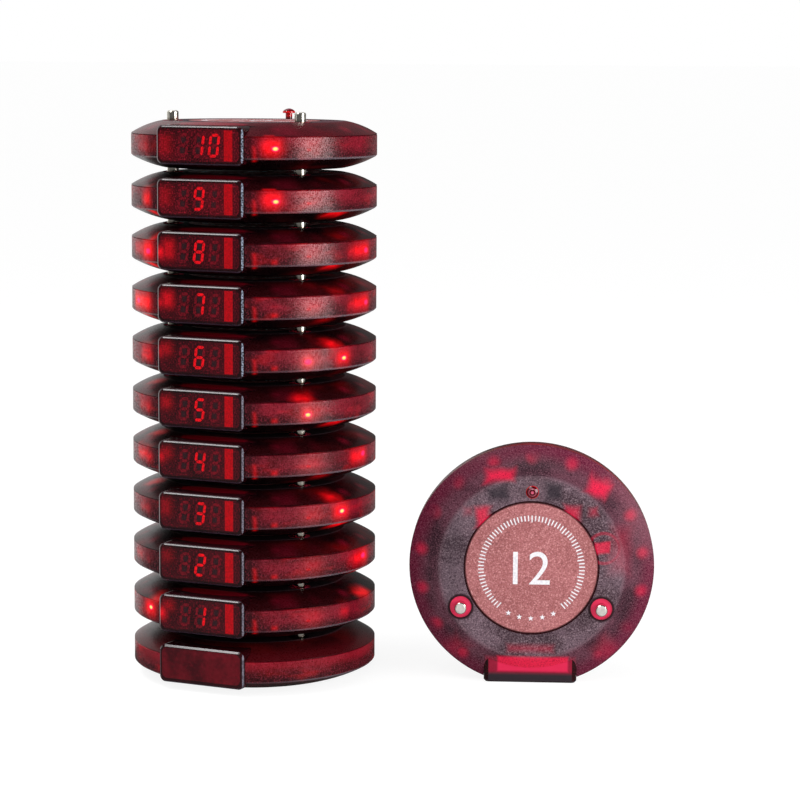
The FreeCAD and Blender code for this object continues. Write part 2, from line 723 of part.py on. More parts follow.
def battery():
    pack = box("battery_pack", "battery_length", "battery_width", "battery_thickness", "0", "battery_place", "wall")
    return [pack] + leads("battery", "0", "battery_place + battery_lead_place", "wall + battery_thickness")


def vibration_motor():
    """Sealed coin motor on the case's floor."""
    coin = cylinder("motor_coin", "motor_radius", "motor_thickness", "-side_part_x", "side_part_y", "wall")
    return [coin] + leads("motor", "-side_part_x", "side_part_y", "wall + motor_thickness")


def buzzer():
    can = cylinder("buzzer_can", "buzzer_radius", "buzzer_height", "side_part_x", "side_part_y", "board_top")
    hole = cylinder("buzzer_hole", "buzzer_hole_radius", "buzzer_height",
                    "side_part_x", "side_part_y", "board_top + buzzer_height / 2")
    return [cut("buzzer_body", can, hole)]


def base_board():
    """Charging circuit: board, regulator chip and inductor."""
    board = round_board("base_board", "base_board_radius", "base_board_seat")
    regulator = box("regulator_chip", "regulator_width", "regulator_width", "chip_height",
                    "-regulator_side", "regulator_rear", "base_board_top")
    coil = cylinder("charging_coil", "coil_radius", "coil_height", "coil_side", "coil_rear", "base_board_top")
    return [board, regulator, coil]


def power_inlet():
    """Barrel inlet on the base's board, opposite the display block, with its bore and centre pin."""
    body = box("inlet_body", "jack_width", "jack_depth", "jack_height",
               "0", "jack_face - jack_depth / 2", "base_board_top")
    bore = cylinder("inlet_bore", "jack_bore_radius", "jack_bore_depth", "0", "jack_face", "jack_axis")
    bore.Placement.Rotation = Rotation(Vector(1, 0, 0), 90)
    pin = cylinder("inlet_pin", "jack_pin_radius", "jack_bore_depth", "0", "jack_face - jack_pin_recess", "jack_axis")
    pin.Placement.Rotation = Rotation(Vector(1, 0, 0), 90)
    return [group("inlet", [cut("inlet_shell", body, bore), pin], "Part::MultiFuse")]


def foot_pad():
    return cylinder("foot_pad", "foot_pad_radius", "foot_pad_thickness", "0", "0", "-foot_pad_proud")


# --- assembly ----------------------------------------------------------------------------------------------------


def node(name, members, place):
    """A named sub-part: its solids, carried to their place in the set. Place is a level of the stack or 'loose'."""
    made = group("node_" + name, members)
    made.Label = name
    if place == "loose":
        upright = Rotation(Vector(0, 0, 1), size("loose_angle")) * Rotation(Vector(1, 0, 0), 90)
        made.Placement = Placement(Vector(), upright)
        put(made, "loose_x", "loose_y", "window_face")
    else:
        put(made, z=f"foot_pad_proud + {place} * stack_pitch")
    return made


def build_set():
    """Makes every named sub-part and returns them."""
    shell = top_cover("pager", "board_top")
    case = pager_case()
    window = window_block("pager")
    label = label_disc("pager")
    pins = charging_pins("pager", "board_top")
    contacts = contact_rivets()
    button = push_button()
    screws = case_screws("pager")
    board = pager_board() + rim_lights()
    display = display_module()
    cell = battery()
    motor = vibration_motor()
    sounder = buzzer()
    nodes = []
    for level in range(1, PAGER_COUNT + 1):
        name = f"pager_{level:02d}"
        nodes.append(node(name + "_top_cover", [shell, window, label] + pins, level))
        nodes.append(node(name + "_bottom_case", [case] + contacts + screws, level))
        nodes.append(node(name + "_inner_parts", board + display + cell + motor + sounder, level))
        nodes.append(node(name + "_button", [button], level))
    loose = {
        "top_cover": [shell],
        "bottom_case": [case],
        "display_window": [window],
        "label": [label],
        "charging_contacts": pins + contacts,
        "button": [button],
        "circuit_board": board,
        "display_module": display,
        "battery": cell,
        "vibration_motor": motor,
        "buzzer": sounder,
        "case_screws": screws,
    }
    for name, members in loose.items():
        nodes.append(node("loose_pager_" + name, members, "loose"))
    base = {
        "top_cover": [top_cover("base", "base_board_top")],
        "bottom_case": [base_case()],
        "window": [window_block("base")],
        "charging_pins": charging_pins("base", "base_board_top") + [guide_post()],
        "circuit_board": base_board(),
        "power_inlet": power_inlet(),
        "foot_pad": [foot_pad()],
        "case_screws": case_screws("base"),
    }
    for name, members in base.items():
        nodes.append(node("charging_base_" + name, members, 0))
    return nodes


def check_document(nodes):
    """Stops on a failed feature, a pocket that cuts nothing, or a sub-part without a valid solid."""
    for thing in doc.Objects:
        if {"Invalid", "Error"} & set(thing.State):
            raise RuntimeError(f"{thing.Name} failed: {thing.State}")
        if thing.TypeId == "PartDesign::Pocket" and thing.Shape.Volume >= thing.BaseFeature.Shape.Volume - 1e-3:
            raise RuntimeError(f"{thing.Name} cuts nothing")
        if thing.TypeId == "Part::Compound" and not thing.Shape.Solids:
            raise RuntimeError(f"{thing.Name} holds no solid")
    for made in nodes:
        if made.Shape.isNull() or not made.Shape.isValid():
            raise RuntimeError(f"{made.Label} has no valid shape")


def main():
    nodes = build_set()
    doc.recompute()
    check_document(nodes)
    os.makedirs("parts", exist_ok=True)
    for made in nodes:
        made.Shape.exportStep(f"parts/{made.Label}.step")
    print(len(nodes), "sub-parts,", sum(len(made.Shape.Solids) for made in nodes), "solids")


main()
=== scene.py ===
"""Looks of the guest pager set: finishes of the moulded shells, displays, labels, pins and buttons.

Finishes and added pieces are drawn in a pager's own frame, in millimetres: underside at z = 0, +Z up, display
facing -Y. They are then carried to each pager's place, which is read from the frame. Angles round a pager are in
degrees from its display, towards +X.
"""

import math

import bmesh
import bpy
from mathutils import Matrix, Vector


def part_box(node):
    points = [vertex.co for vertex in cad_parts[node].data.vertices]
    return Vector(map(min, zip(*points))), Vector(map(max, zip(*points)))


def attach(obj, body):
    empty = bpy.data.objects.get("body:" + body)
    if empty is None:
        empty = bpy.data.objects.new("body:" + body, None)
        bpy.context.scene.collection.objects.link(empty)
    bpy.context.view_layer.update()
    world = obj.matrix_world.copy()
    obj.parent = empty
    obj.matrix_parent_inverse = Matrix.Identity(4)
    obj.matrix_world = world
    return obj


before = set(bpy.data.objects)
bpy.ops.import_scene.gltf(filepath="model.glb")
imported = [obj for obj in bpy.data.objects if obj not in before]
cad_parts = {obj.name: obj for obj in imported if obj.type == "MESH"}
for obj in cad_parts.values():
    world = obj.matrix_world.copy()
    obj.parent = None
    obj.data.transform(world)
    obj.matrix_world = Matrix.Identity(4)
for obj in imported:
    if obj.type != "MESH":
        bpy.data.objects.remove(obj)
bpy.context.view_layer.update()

MM = 0.001

# --- sizes in a pager's own frame, in millimetres and degrees ---

PAGER_COUNT = 10
RIM_RADIUS = 50.0
PLATEAU_RADIUS = 37.5
PAGER_HEIGHT = 18.65
WALL_FOOT = 4.8
SEAM_HEIGHT = 13.4

WINDOW_FACE = 48.0
WINDOW_WIDTH = 38.0
WINDOW_FOOT = 2.2
WINDOW_HEIGHT = 15.3
WINDOW_DEPTH = 11.0
WINDOW_TOP = WINDOW_FOOT + WINDOW_HEIGHT
WINDOW_MIDDLE = WINDOW_FOOT + WINDOW_HEIGHT / 2

LABEL_RADIUS = 27.0
LABEL_THICKNESS = 0.4

PIN_RING = 33.1
PIN_ANGLE = 60.0
PIN_RADIUS = 2.38
PIN_HEIGHT = 4.0
PIN_X = PIN_RING * math.sin(math.radians(PIN_ANGLE))
PIN_Y = -PIN_RING * math.cos(math.radians(PIN_ANGLE))
RECESS_RADIUS = 4.3
RECESS_DEPTH = 0.4

BUTTON_RING = 31.8
BUTTON_RADIUS = 2.6
BUTTON_HEIGHT = 4.4

DIGIT_HEIGHT = 9.3
DIGIT_WIDTH = 4.7
DIGIT_STROKE = 1.15
DIGIT_SLANT = 0.13
DIGIT_GAP = 0.2
DIGIT_PLACES = (-7.0, -0.1, 6.7)
BAR_PLACE = 12.9
BAR_WIDTH = 3.7
BAR_HEIGHT = 12.0
INLAY_DEPTH = 0.35
INLAY_PROUD = 0.03

PRINT_PROUD = 0.03
PRINT_SUNK = 0.1
NUMERAL_SIZE = (15.0, 14.0)
TICK_RING = (19.4, 21.7)
TICK_WIDTH = 0.5
TICK_STEP = 4.0
TICK_REACH = 140.0
LONG_TICK_EVERY = 5
LONG_TICK_EXTRA = 0.5
STAR_RING = 20.9
STAR_RADIUS = 1.25
STAR_INNER_SHARE = 0.4
STAR_STEP = 13.0
STAR_POINTS = 5
STARS_EACH_SIDE = 2

# how far the base's case sits below its pins' place; the loose pager's turn and number
BASE_DROP = 0.4
LOOSE_TURN = 20.6
LOOSE_NUMBER = 12

# limits that tell the faces of a grouped node apart
MARGIN = 0.01
WINDOW_MARGIN = 0.03
WALL_INSIDE = RIM_RADIUS - 0.8
WALL_HEIGHTS = (WALL_FOOT - 0.2, SEAM_HEIGHT + 0.3)
CONTACT_RADIUS = 2.65
CONTACT_HEIGHTS = (1.7, 2.7)
LAMP_HEIGHTS = (10.2, 12.1)
LAMP_INSIDE = 42.9
MODULE_BACK = 38.5
MODULE_HALF_WIDTH = 17.2
BATTERY_TOP = 7.1
BATTERY_MIDDLE = 1.0
BATTERY_HALVES = (20.1, 15.1)
MOTOR_TOP = 8.6
MOTOR_SIDE = 22.0
BOARD_HEIGHTS = (8.5, 10.21)
BASE_BOARD_TOP = 5.21
INLET_HEIGHT = 8.5
INLET_PIN_RADIUS = 1.05
INLET_PIN_FRONT = 39.0
SCREW_RING = (33.5, 38.5)
SCREW_HEIGHTS = (0.3, 1.85)
SCREW_FROM_PIN = 4.0

# --- what shows through the frosted plastic ---

# the ring of rim lights: degrees between them and radius; how much of all this a stacked pager's top shows
LIGHT_STEP = 20.33
LIGHT_RING = 45.5
STACKED_TOP_SHARE = 0.3

# soft rectangles on the top: x, y, half width, half depth, soft edge, turn, strength
TOP_GLOWS = (
    (-13.5, 38.0, 5.6, 2.6, 4.5, 0, 1.0),
    (27.0, 33.6, 3.8, 3.2, 4.5, -30, 1.0),
    (16.2, 22.9, 3.2, 2.6, 4.0, 0, 0.75),
    (24.6, 24.1, 1.2, 1.2, 3.4, 0, 0.55),
    (-19.9, 20.4, 2.9, 4.2, 4.0, 0, 0.85),
    (-26.0, 23.5, 1.2, 1.2, 4.0, 0, 0.35),
    (29.3, 8.6, 3.1, 2.8, 1.8, 0, 0.85),
    (36.0, 8.0, 3.0, 8.0, 9.0, 0, 0.35),
    (-31.0, -34.0, 4.0, 3.0, 8.0, 45, 0.35),
    (31.0, -34.0, 4.0, 3.0, 8.0, -45, 0.35),
)
FRONT_GLOWS = (
    (1.0, -40.2, 14.6, 3.3, 1.8, 0, 1.0),
    (0.0, -40.6, 18.2, 3.4, 2.4, 0, 0.35),
    (0.0, -33.5, 9.0, 1.2, 4.0, 0, 0.45),
)
TOP_SHADES = (
    (-13.8, 30.2, 3.6, 2.6, 4.0, 0, 0.8),
    (8.4, 32.2, 3.2, 3.9, 4.0, 0, 0.8),
    (-32.0, 2.0, 4.0, 20.0, 10.0, 0, 0.35),
)
BUZZER_AT = (29.3, 8.6)
BUZZER_RADIUS = 6.2

# lit lamps behind the wall: angle, height, warm core or not, then the patch of light round it: angle, height,
# half width, half height
WALL_LIGHTS = {
    1: [(-30.5, 10.3, True, -31.0, 10.2, 1.6, 0.4)],
    2: [(88.5, 9.9, False, 86.0, 9.7, 3.4, 0.2)],
    3: [(71.3, 9.5, True, 70.5, 9.6, 1.8, 0.5)],
    4: [(88.1, 10.4, False, 84.0, 9.8, 3.4, 0.2)],
    5: [(51.8, 8.1, True, 51.6, 8.6, 0.4, 0.1)],
    6: [(72.3, 8.8, True, 71.5, 9.1, 1.4, 0.3), (51.8, 8.4, False, 51.8, 8.4, 0.2, 0.1)],
    7: [(-42.0, 9.4, False, -38.0, 9.3, 5.6, 0.7), (90.6, 9.1, False, 86.0, 9.4, 4.0, 0.2)],
    8: [(-31.0, 9.0, False, -31.2, 9.6, 1.8, 1.1), (90.3, 9.3, False, 86.0, 9.5, 4.0, 0.2)],
    9: [(36.5, 9.1, True, 35.0, 9.9, 1.5, 0.8)],
    10: [(36.3, 8.8, True, 34.8, 9.5, 1.6, 0.8)],
}

# faint red marks of light that glow through every pager's wall and lower dome beside the display, and a wide haze of
# light behind them: angle, height, half width, half height, strength, and the distance from the axis if that isn't the
# rim's
WALL_LIGHT_MARKS = ((26.7, 7.4, 0.1, 1.8, 0.32), (36.0, 6.5, 0.6, 0.1, 0.4), (52.0, 8.4, 0.6, 0.2, 0.45))
WALL_HAZE = ((54.0, 9.8, 2.0, 1.0, 0.2),)
DOME_LIGHT_MARKS = ((26.7, 3.9, 0.1, 0.3, 0.5, 49.0),)

# dimmer patches of light on walls and domes, in the same order
GLOWS = {
    1: [(92.0, 14.4, 2.6, 0.1, 0.8, 48.0), (-27.0, 14.2, 1.4, 0.1, 0.5, 48.8), (73.0, 9.6, 0.8, 0.2, 0.35)],
    2: [(74.0, 14.6, 1.4, 0.1, 0.12, 48.0), (86.0, 3.6, 0.6, 0.1, 0.5, 48.5), (-43.0, 10.0, 2.3, 0.1, 0.25),
        (78.0, 9.4, 0.8, 0.1, 0.35)],
    3: [(67.0, 14.9, 0.8, 0.1, 0.75, 47.3), (70.0, 3.7, 1.6, 0.1, 0.9, 48.5), (-36.0, 9.2, 2.8, 0.2, 0.2),
        (-50.0, 16.6, 1.3, 0.1, 0.4, 42.0)],
    4: [(60.0, 3.4, 1.3, 0.1, 0.25, 47.5), (-38.0, 10.4, 3.3, 0.1, 0.7), (-32.0, 9.6, 1.3, 0.1, 0.5),
        (-44.0, 16.6, 1.3, 0.1, 0.35, 42.0)],
    5: [(50.0, 14.5, 1.3, 0.1, 0.8, 48.0), (68.0, 3.5, 2.3, 0.1, 0.7, 48.0), (-35.0, 9.4, 3.3, 0.6, 0.3),
        (-46.0, 16.6, 1.3, 0.1, 0.3, 42.0)],
    6: [(66.0, 14.5, 0.8, 0.1, 0.9, 48.3), (-33.0, 10.6, 2.3, 0.1, 0.5), (-33.0, 8.6, 2.8, 0.1, 0.6)],
    7: [(69.0, 14.6, 1.0, 0.1, 0.2, 48.0), (62.0, 3.2, 1.3, 0.1, 0.2, 47.5), (-36.0, 3.6, 1.3, 0.1, 0.5, 48.5),
        (78.0, 9.0, 1.2, 0.1, 0.5)],
    8: [(66.0, 3.6, 1.6, 0.1, 0.8, 48.5), (72.0, 15.2, 0.8, 0.1, 0.12, 46.5), (-32.0, 3.4, 0.9, 0.1, 0.9, 48.0),
        (-38.0, 9.4, 5.8, 1.0, 0.3), (-28.0, 14.2, 0.2, 0.1, 0.5, 48.6), (78.0, 9.2, 1.2, 0.1, 0.5)],
    9: [(-32.0, 9.2, 1.4, 0.9, 0.8), (-30.0, 3.4, 0.6, 0.1, 0.8, 48.0), (68.0, 3.5, 2.7, 0.1, 0.8, 48.2)],
    10: [(-36.0, 8.8, 2.8, 0.9, 0.15)],
}

# thin lines of light on the dome's edge, right above a lamp, in the order of the marks
EDGE_GLOWS = {9: [(33.5, 13.6, 2.0, 0.1, 0.6)], 10: [(33.5, 13.6, 1.4, 0.1, 0.4)]}

# light behind the left end of the display's front: across, height, half width, half height, strength
FRONT_LIGHTS = {
    1: [(-14.6, 13.0, 1.4, 1.0, 0.25), (-18.0, 9.8, 0.5, 1.0, 0.9)],
    2: [(-15.0, 12.5, 1.6, 1.5, 0.15)],
    3: [(-15.5, 11.5, 1.6, 3.0, 0.2)],
    4: [(-15.0, 12.5, 1.4, 1.4, 0.25), (-17.6, 11.0, 0.2, 0.3, 0.6)],
    5: [(-15.0, 12.0, 1.6, 1.5, 0.3)],
    6: [(-15.0, 12.5, 1.8, 1.6, 0.3), (-17.8, 11.5, 0.3, 1.0, 0.4)],
    7: [(-14.2, 11.5, 1.6, 2.6, 0.6), (-17.6, 10.2, 0.6, 0.6, 0.5)],
    8: [(-13.6, 10.5, 1.6, 3.6, 0.5), (-17.5, 9.2, 0.8, 1.0, 0.9)],
    9: [(-15.0, 10.5, 2.0, 3.6, 0.2)],
    10: [(-15.0, 10.0, 2.2, 4.0, 0.2)],
}


# --- places ---


def stacked_place(pins_node):
    """A stacked unit's frame: the crowns of its charging pins are its highest points."""
    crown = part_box(pins_node)[1].z
    return Matrix.Translation((0, 0, crown - (PAGER_HEIGHT + PIN_HEIGHT) * MM)) @ Matrix.Scale(MM, 4)


def loose_place():
    """The loose pager's frame: upright, turned about the vertical, its label in the middle of its face."""
    low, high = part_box("loose_pager_label")
    turn = Matrix.Rotation(math.radians(LOOSE_TURN), 4, "Z") @ Matrix.Rotation(math.radians(90), 4, "X")
    to_label = turn @ Vector((0, 0, (PAGER_HEIGHT - LABEL_THICKNESS / 2) * MM))
    return Matrix.Translation((low + high) / 2 - to_label) @ turn @ Matrix.Scale(MM, 4)


# --- node materials ---


def srgb(code):
    """Linear colour from a hexadecimal sRGB code."""
    channels = [int(code[i:i + 2], 16) / 255 for i in (0, 2, 4)]
    return tuple(c / 12.92 if c <= 0.04045 else ((c + 0.055) / 1.055) ** 2.4 for c in channels) + (1.0,)


class Nodes:
    """A node tree under construction. Most methods add nodes and return an output socket."""

    def __init__(self, tree):
        self.nodes = tree.nodes
        self.links = tree.links

    def feed(self, socket, value):
        """Gives an input a link, a value, or a colour by its code."""
        if isinstance(value, bpy.types.NodeSocket):
            self.links.new(value, socket)
        else:
            socket.default_value = srgb(value) if isinstance(value, str) else value

    def math(self, operation, *values):
        made = self.nodes.new("ShaderNodeMath")
        made.operation = operation
        for socket, value in zip(made.inputs, values):
            self.feed(socket, value)
        return made.outputs[0]

    def brightest(self, total, *others):
        """The largest of several factors."""
        for other in others:
            total = self.math("MAXIMUM", total, other)
        return total

    def both(self, total, *others):
        """The product of several factors."""
        for other in others:
            total = self.math("MULTIPLY", total, other)
        return total

    def ramp(self, value, low, high, start=0.0, end=1.0):
        """Smooth step from start to end as value goes from low to high."""
        if low > high:
            low, high, start, end = high, low, end, start
        made = self.nodes.new("ShaderNodeMapRange")
        made.interpolation_type = "SMOOTHSTEP"
        for socket, setting in zip(made.inputs, (value, low, high, start, end)):
            self.feed(socket, setting)
        return made.outputs[0]

    def split(self, vector):
        """The three parts of a vector."""
        made = self.nodes.new("ShaderNodeSeparateXYZ")
        self.links.new(vector, made.inputs[0])
        return made.outputs


class Finish(Nodes):
    """A node material under construction, in a pager's own frame or in the world's, in millimetres."""

    def __init__(self, name, place=Matrix.Scale(MM, 4)):
        self.material = bpy.data.materials.new(name)
        self.material.use_nodes = True
        super().__init__(self.material.node_tree)
        self.shader = self.nodes["Principled BSDF"]
        everywhere = self.nodes.new("ShaderNodeTexCoord").outputs["Object"]
        self.local = self.mapped(everywhere, place.translation, place.to_euler("XYZ"), (MM, MM, MM))
        self.x, self.y, self.z = self.split(self.local)

    def set(self, **values):
        """Sets the shader's own sockets, with underscores for blanks."""
        for name, value in values.items():
            self.feed(self.shader.inputs[name.replace("_", " ")], value)
        return self.material

    def bump(self, height, strength, distance=0.1):
        made = self.nodes.new("ShaderNodeBump")
        made.inputs["Strength"].default_value = strength
        made.inputs["Distance"].default_value = distance * MM
        self.links.new(height, made.inputs["Height"])
        self.links.new(made.outputs[0], self.shader.inputs["Normal"])

    # places and lengths

    def mapped(self, vector, location, rotation=(0, 0, 0), scale=(1, 1, 1), kind="TEXTURE"):
        """A vector as seen from a frame with this place, turn and scale, or with kind POINT the other way about."""
        made = self.nodes.new("ShaderNodeMapping")
        made.vector_type = kind
        for socket, value in zip(made.inputs, (vector, location, rotation, scale)):
            self.feed(socket, value)
        return made.outputs[0]

    def vector(self, operation, first, second=None):
        made = self.nodes.new("ShaderNodeVectorMath")
        made.operation = operation
        self.feed(made.inputs[0], first)
        if second is not None:
            self.feed(made.inputs[1], second)
        return made.outputs["Value" if operation == "LENGTH" else "Vector"]

    def distance(self, point, stretch):
        """Distance in millimetres from a point, with each axis divided by its stretch."""
        return self.vector("LENGTH", self.mapped(self.local, point, scale=stretch))

    def off_box(self, point, halves, turn=0.0, local=None):
        """Distance in millimetres outside a box round a point, turned about the vertical."""
        at = self.mapped(self.local if local is None else local, point, (0, 0, math.radians(turn)))
        out = self.vector("MAXIMUM", self.vector("SUBTRACT", self.vector("ABSOLUTE", at), halves), (0, 0, 0))
        return self.vector("LENGTH", out)

    def length(self, first, second):
        """Length of a vector in plan."""
        squares = self.math("ADD", self.math("MULTIPLY", first, first), self.math("MULTIPLY", second, second))
        return self.math("SQRT", squares)

    def radius(self, x=0.0, y=0.0):
        """Distance from a vertical axis."""
        return self.length(self.math("SUBTRACT", self.x, x), self.math("SUBTRACT", self.y, y))

    def radius_pair(self, x, y):
        """Distance from the nearer of two vertical axes, at x and -x."""
        across = self.math("SUBTRACT", self.math("ABSOLUTE", self.x), x)
        return self.length(across, self.math("SUBTRACT", self.y, y))

    # patterns

    def mix(self, factor, first, second):
        """Blend of two colours."""
        made = self.nodes.new("ShaderNodeMix")
        made.data_type = "RGBA"
        for socket, value in zip((made.inputs[0], made.inputs[6], made.inputs[7]), (factor, first, second)):
            self.feed(socket, value)
        return made.outputs[2]

    def texture(self, vector, scale, detail):
        made = self.nodes.new("ShaderNodeTexNoise")
        made.inputs["Scale"].default_value = scale
        made.inputs["Detail"].default_value = detail
        self.links.new(vector, made.inputs["Vector"])
        return made

    def noise(self, scale, detail=2.0, stretch=(1, 1, 1), shift=(0, 0, 0)):
        """Noise between 0 and 1; scale is in features per millimetre."""
        return self.texture(self.mapped(self.local, shift, scale=stretch, kind="POINT"), scale, detail).outputs[0]

    def cloud(self, level):
        """Broad mottling, another on every level."""
        return self.ramp(self.noise(0.06, 2.0, (1, 1, 2.5), (0, 0, 31 * level)), 0.35, 0.65)

    def speckle(self, base, light, dark, scale, light_share, dark_share):
        """Frosting: light and dark specks a few tenths of a millimetre across. Gives the colour and the grain."""
        grain = self.noise(scale, 3.0)
        base = self.mix(self.both(self.ramp(grain, 0.5, 0.72), light_share), base, light)
        return self.mix(self.both(self.ramp(grain, 0.5, 0.3), dark_share), base, dark), grain

    def band(self, value, middle, half, soft):
        """1 within half of the middle, fading to 0 over the soft edge."""
        away = self.math("ABSOLUTE", self.math("SUBTRACT", value, middle))
        return self.ramp(away, half + soft, half)

    # light in the plastic

    def wavy(self, reach):
        """The local place, moved about by a few tenths of this reach, for uneven outlines."""
        wave = self.vector("SUBTRACT", self.texture(self.local, 0.22, 1.0).outputs["Color"], (0.5, 0.5, 0.5))
        return self.vector("ADD", self.vector("MULTIPLY", wave, (2 * reach,) * 3), self.local)

    def fade(self, off, soft):
        """1 falling at once to 0 at the end of the soft edge, as light does in cloudy plastic."""
        left = self.math("MAXIMUM", self.math("MULTIPLY_ADD", off, -1.0 / soft, 1.0), 0.0)
        return self.math("POWER", left, 2.4)

    def round_the_rim(self, patches, soft, reach=0.0):
        """The brightest of several soft patches: angle, height, half width, half height, strength, ring."""
        total = 0.0
        local = self.wavy(reach) if reach else None
        for angle, height, half, rise, strength, *ring in patches:
            at = ring[0] if ring else RIM_RADIUS
            off = self.off_box(wall_point(angle, height, at), (half, 0.3, rise), angle, local)
            total = self.brightest(self.both(self.fade(off, soft), strength), total)
        return total

    def shake(self, reach):
        """Plan coordinates that wander by up to this much, for uneven outlines."""
        shifts = [self.noise(0.1, 1.0, shift=(seed, 0, 0)) for seed in (17, 61)]
        moves = [self.math("MULTIPLY_ADD", shift, 2 * reach, -reach) for shift in shifts]
        return [self.math("ADD", at, move) for at, move in zip((self.x, self.y), moves)]

    def soft_box(self, plan, x, y, half_x, half_y, soft, turn):
        """1 inside a rectangle in plan, fading to 0 over its soft edge."""
        c, s = math.cos(math.radians(turn)), math.sin(math.radians(turn))
        dx = self.math("SUBTRACT", plan[0], x)
        dy = self.math("SUBTRACT", plan[1], y)
        along = self.math("MULTIPLY_ADD", dx, c, self.math("MULTIPLY", dy, s))
        across = self.math("MULTIPLY_ADD", dy, c, self.math("MULTIPLY", dx, -s))
        out_x = self.math("SUBTRACT", self.math("ABSOLUTE", along), half_x)
        out_y = self.math("SUBTRACT", self.math("ABSOLUTE", across), half_y)
        return self.ramp(self.math("MAXIMUM", out_x, out_y), soft / 2, -soft / 2)

    def patches(self, boxes, reach=0.0):
        """The brightest of several soft rectangles, with outlines that wander by up to the reach."""
        plan = self.shake(reach) if reach else (self.x, self.y)
        total = 0.0
        for *box, strength in boxes:
            total = self.brightest(self.both(self.soft_box(plan, *box), strength), total)
        return total


def wall_point(angle, height, radius=RIM_RADIUS):
    """A point at an angle from the display, towards +X."""
    turn = math.radians(angle)
    return (radius * math.sin(turn), -radius * math.cos(turn), height)


def top_glow(f):
    """Light through the top: soft patches, the buzzer's ring and spots over the rim lights."""
    glow = f.brightest(f.patches(TOP_GLOWS, 2.5), f.patches(FRONT_GLOWS))
    ring = f.band(f.radius(*BUZZER_AT), BUZZER_RADIUS, 0.3, 0.7)
    turn = f.math("ARCTAN2", f.x, f.y)
    step = math.radians(LIGHT_STEP)
    off = f.both(f.math("WRAP", turn, step / 2, -step / 2), LIGHT_RING)
    spot = f.length(off, f.math("SUBTRACT", f.radius(), LIGHT_RING))
    uneven = f.ramp(f.noise(0.07, 1.0, shift=(5, 9, 0)), 0.4, 0.6, 0.1, 0.6)
    return f.brightest(glow, f.both(ring, 0.42), f.both(f.ramp(spot, 4.2, 0.3), uneven))


# dome low and high, outer dome, underside low and high: the loose pager, the top of the stack, the stack, the base
# The rows of the stack, and the top pager's underside, are painted far darker than the loose pager's: painted shade in
# the gaps between pagers.
SHELL_TONES = {
    "loose": ("38202a", "5c3542", "621c34", "2a0e17", "541a2c"),
    "top": ("3a0a12", "540f1a", "480c16", "080102", "160305"),
    "stack": ("0c0103", "280306", "260306", "080102", "160305"),
    "base": ("2c0306", "480608", "44060c", "240206", "3a040a"),
}
# radii between which the dome's colour turns into the plateau's, and into that of its outer part
PLATEAU_FADES = {"loose": (39.5, 35.8), "stack": (38.3, 36.6)}
OUTER_DOME = (41.5, 48.0)
# where a stacked pager's domes let stray light through: radii, and depths from the front
STRAY_RING = (38.0, 42.0)
STRAY_DEPTH = (-38.0, -20.0)


def shell_colour(f, tone, level, radius, on_top, plateau):
    """The shell's colour, frosted, with painted shade on stacked pagers and in the label's groove, and a painted
    highlight on the plateau's edge. Gives the colour and the grain.
    """
    cloud = f.cloud(level)
    dome_low, dome_high, outer, under_low, under_high = SHELL_TONES[tone]
    base = f.mix(cloud, under_low, under_high)
    base = f.mix(on_top, base, f.mix(cloud, dome_low, dome_high))
    base = f.mix(f.both(on_top, f.ramp(radius, *OUTER_DOME)), base, outer)
    if tone == "loose":
        base = f.mix(plateau, base, f.mix(cloud, "4a3840", "6e5963"))
        base, grain = f.speckle(base, f.mix(plateau, "8a5a68", "a8929a"), "0c0204", 1.9, 0.5, 0.55)
    else:
        # a plateau under another pager is painted dark: painted shade of the pager above
        base = f.mix(plateau, base, "4a3941" if tone == "top" else "1e1216")
        base, grain = f.speckle(base, "5a3a42", "040101", 1.8, 0.12, 0.5)
    # a painted highlight along the plateau's edge
    plateau_edge_highlight = f.both(f.band(radius, PLATEAU_RADIUS, 0.2, 0.6), on_top)
    base = f.mix(f.both(plateau_edge_highlight, 0.15), base, "8f747e")
    # painted shade in the groove round the label
    label_groove_shade = f.both(f.band(radius, LABEL_RADIUS + 0.35, 0.25, 0.15), on_top)
    return f.mix(label_groove_shade, base, "250308"), grain


def light_through_top(f, base, grain, on_top, plateau, share):
    """What shows through the top, with this share of the light. Gives the colour and the emission."""
    base = f.mix(f.both(f.patches(TOP_SHADES, 2.5), plateau), base, "2a262d")
    above_seam = f.ramp(f.z, SEAM_HEIGHT + 0.3, SEAM_HEIGHT + 1.0)
    glow = f.both(top_glow(f), above_seam, f.ramp(grain, 0.15, 0.6, 0.55, 1.0), share)
    base = f.mix(f.both(glow, 0.85), base, "c2163e")
    pin = f.radius_pair(PIN_X, PIN_Y)
    shaded = f.both(f.ramp(pin, RECESS_RADIUS + 1.5, RECESS_RADIUS + 0.6), on_top)
    base = f.mix(shaded, base, "2c181e")
    # each pin's recess painted bright pink-red: painted light coming through the plastic there
    recess_glow = f.both(f.ramp(pin, RECESS_RADIUS + 0.15, RECESS_RADIUS - 0.05), on_top)
    return f.mix(recess_glow, base, "e0345a"), f.both(glow, glow, 0.25)


def light_round_level(f, level, strength, radius):
    """Adds the lamps' light on the domes of a stacked pager to the emission."""
    spots = f.round_the_rim(GLOWS[level], 7.0, 2.0)
    spots = f.brightest(spots, f.round_the_rim(DOME_LIGHT_MARKS, 2.0, 0.8))
    spots = f.brightest(spots, f.round_the_rim(EDGE_GLOWS.get(level, ()), 1.8))
    stray = f.ramp(f.noise(0.05, 2.0, shift=(9, 0, 23 * level)), 0.45, 0.75)
    stray = f.both(stray, f.ramp(radius, *STRAY_RING), f.ramp(f.y, *STRAY_DEPTH))
    return f.math("ADD", f.brightest(strength, spots), f.both(stray, 0.05))


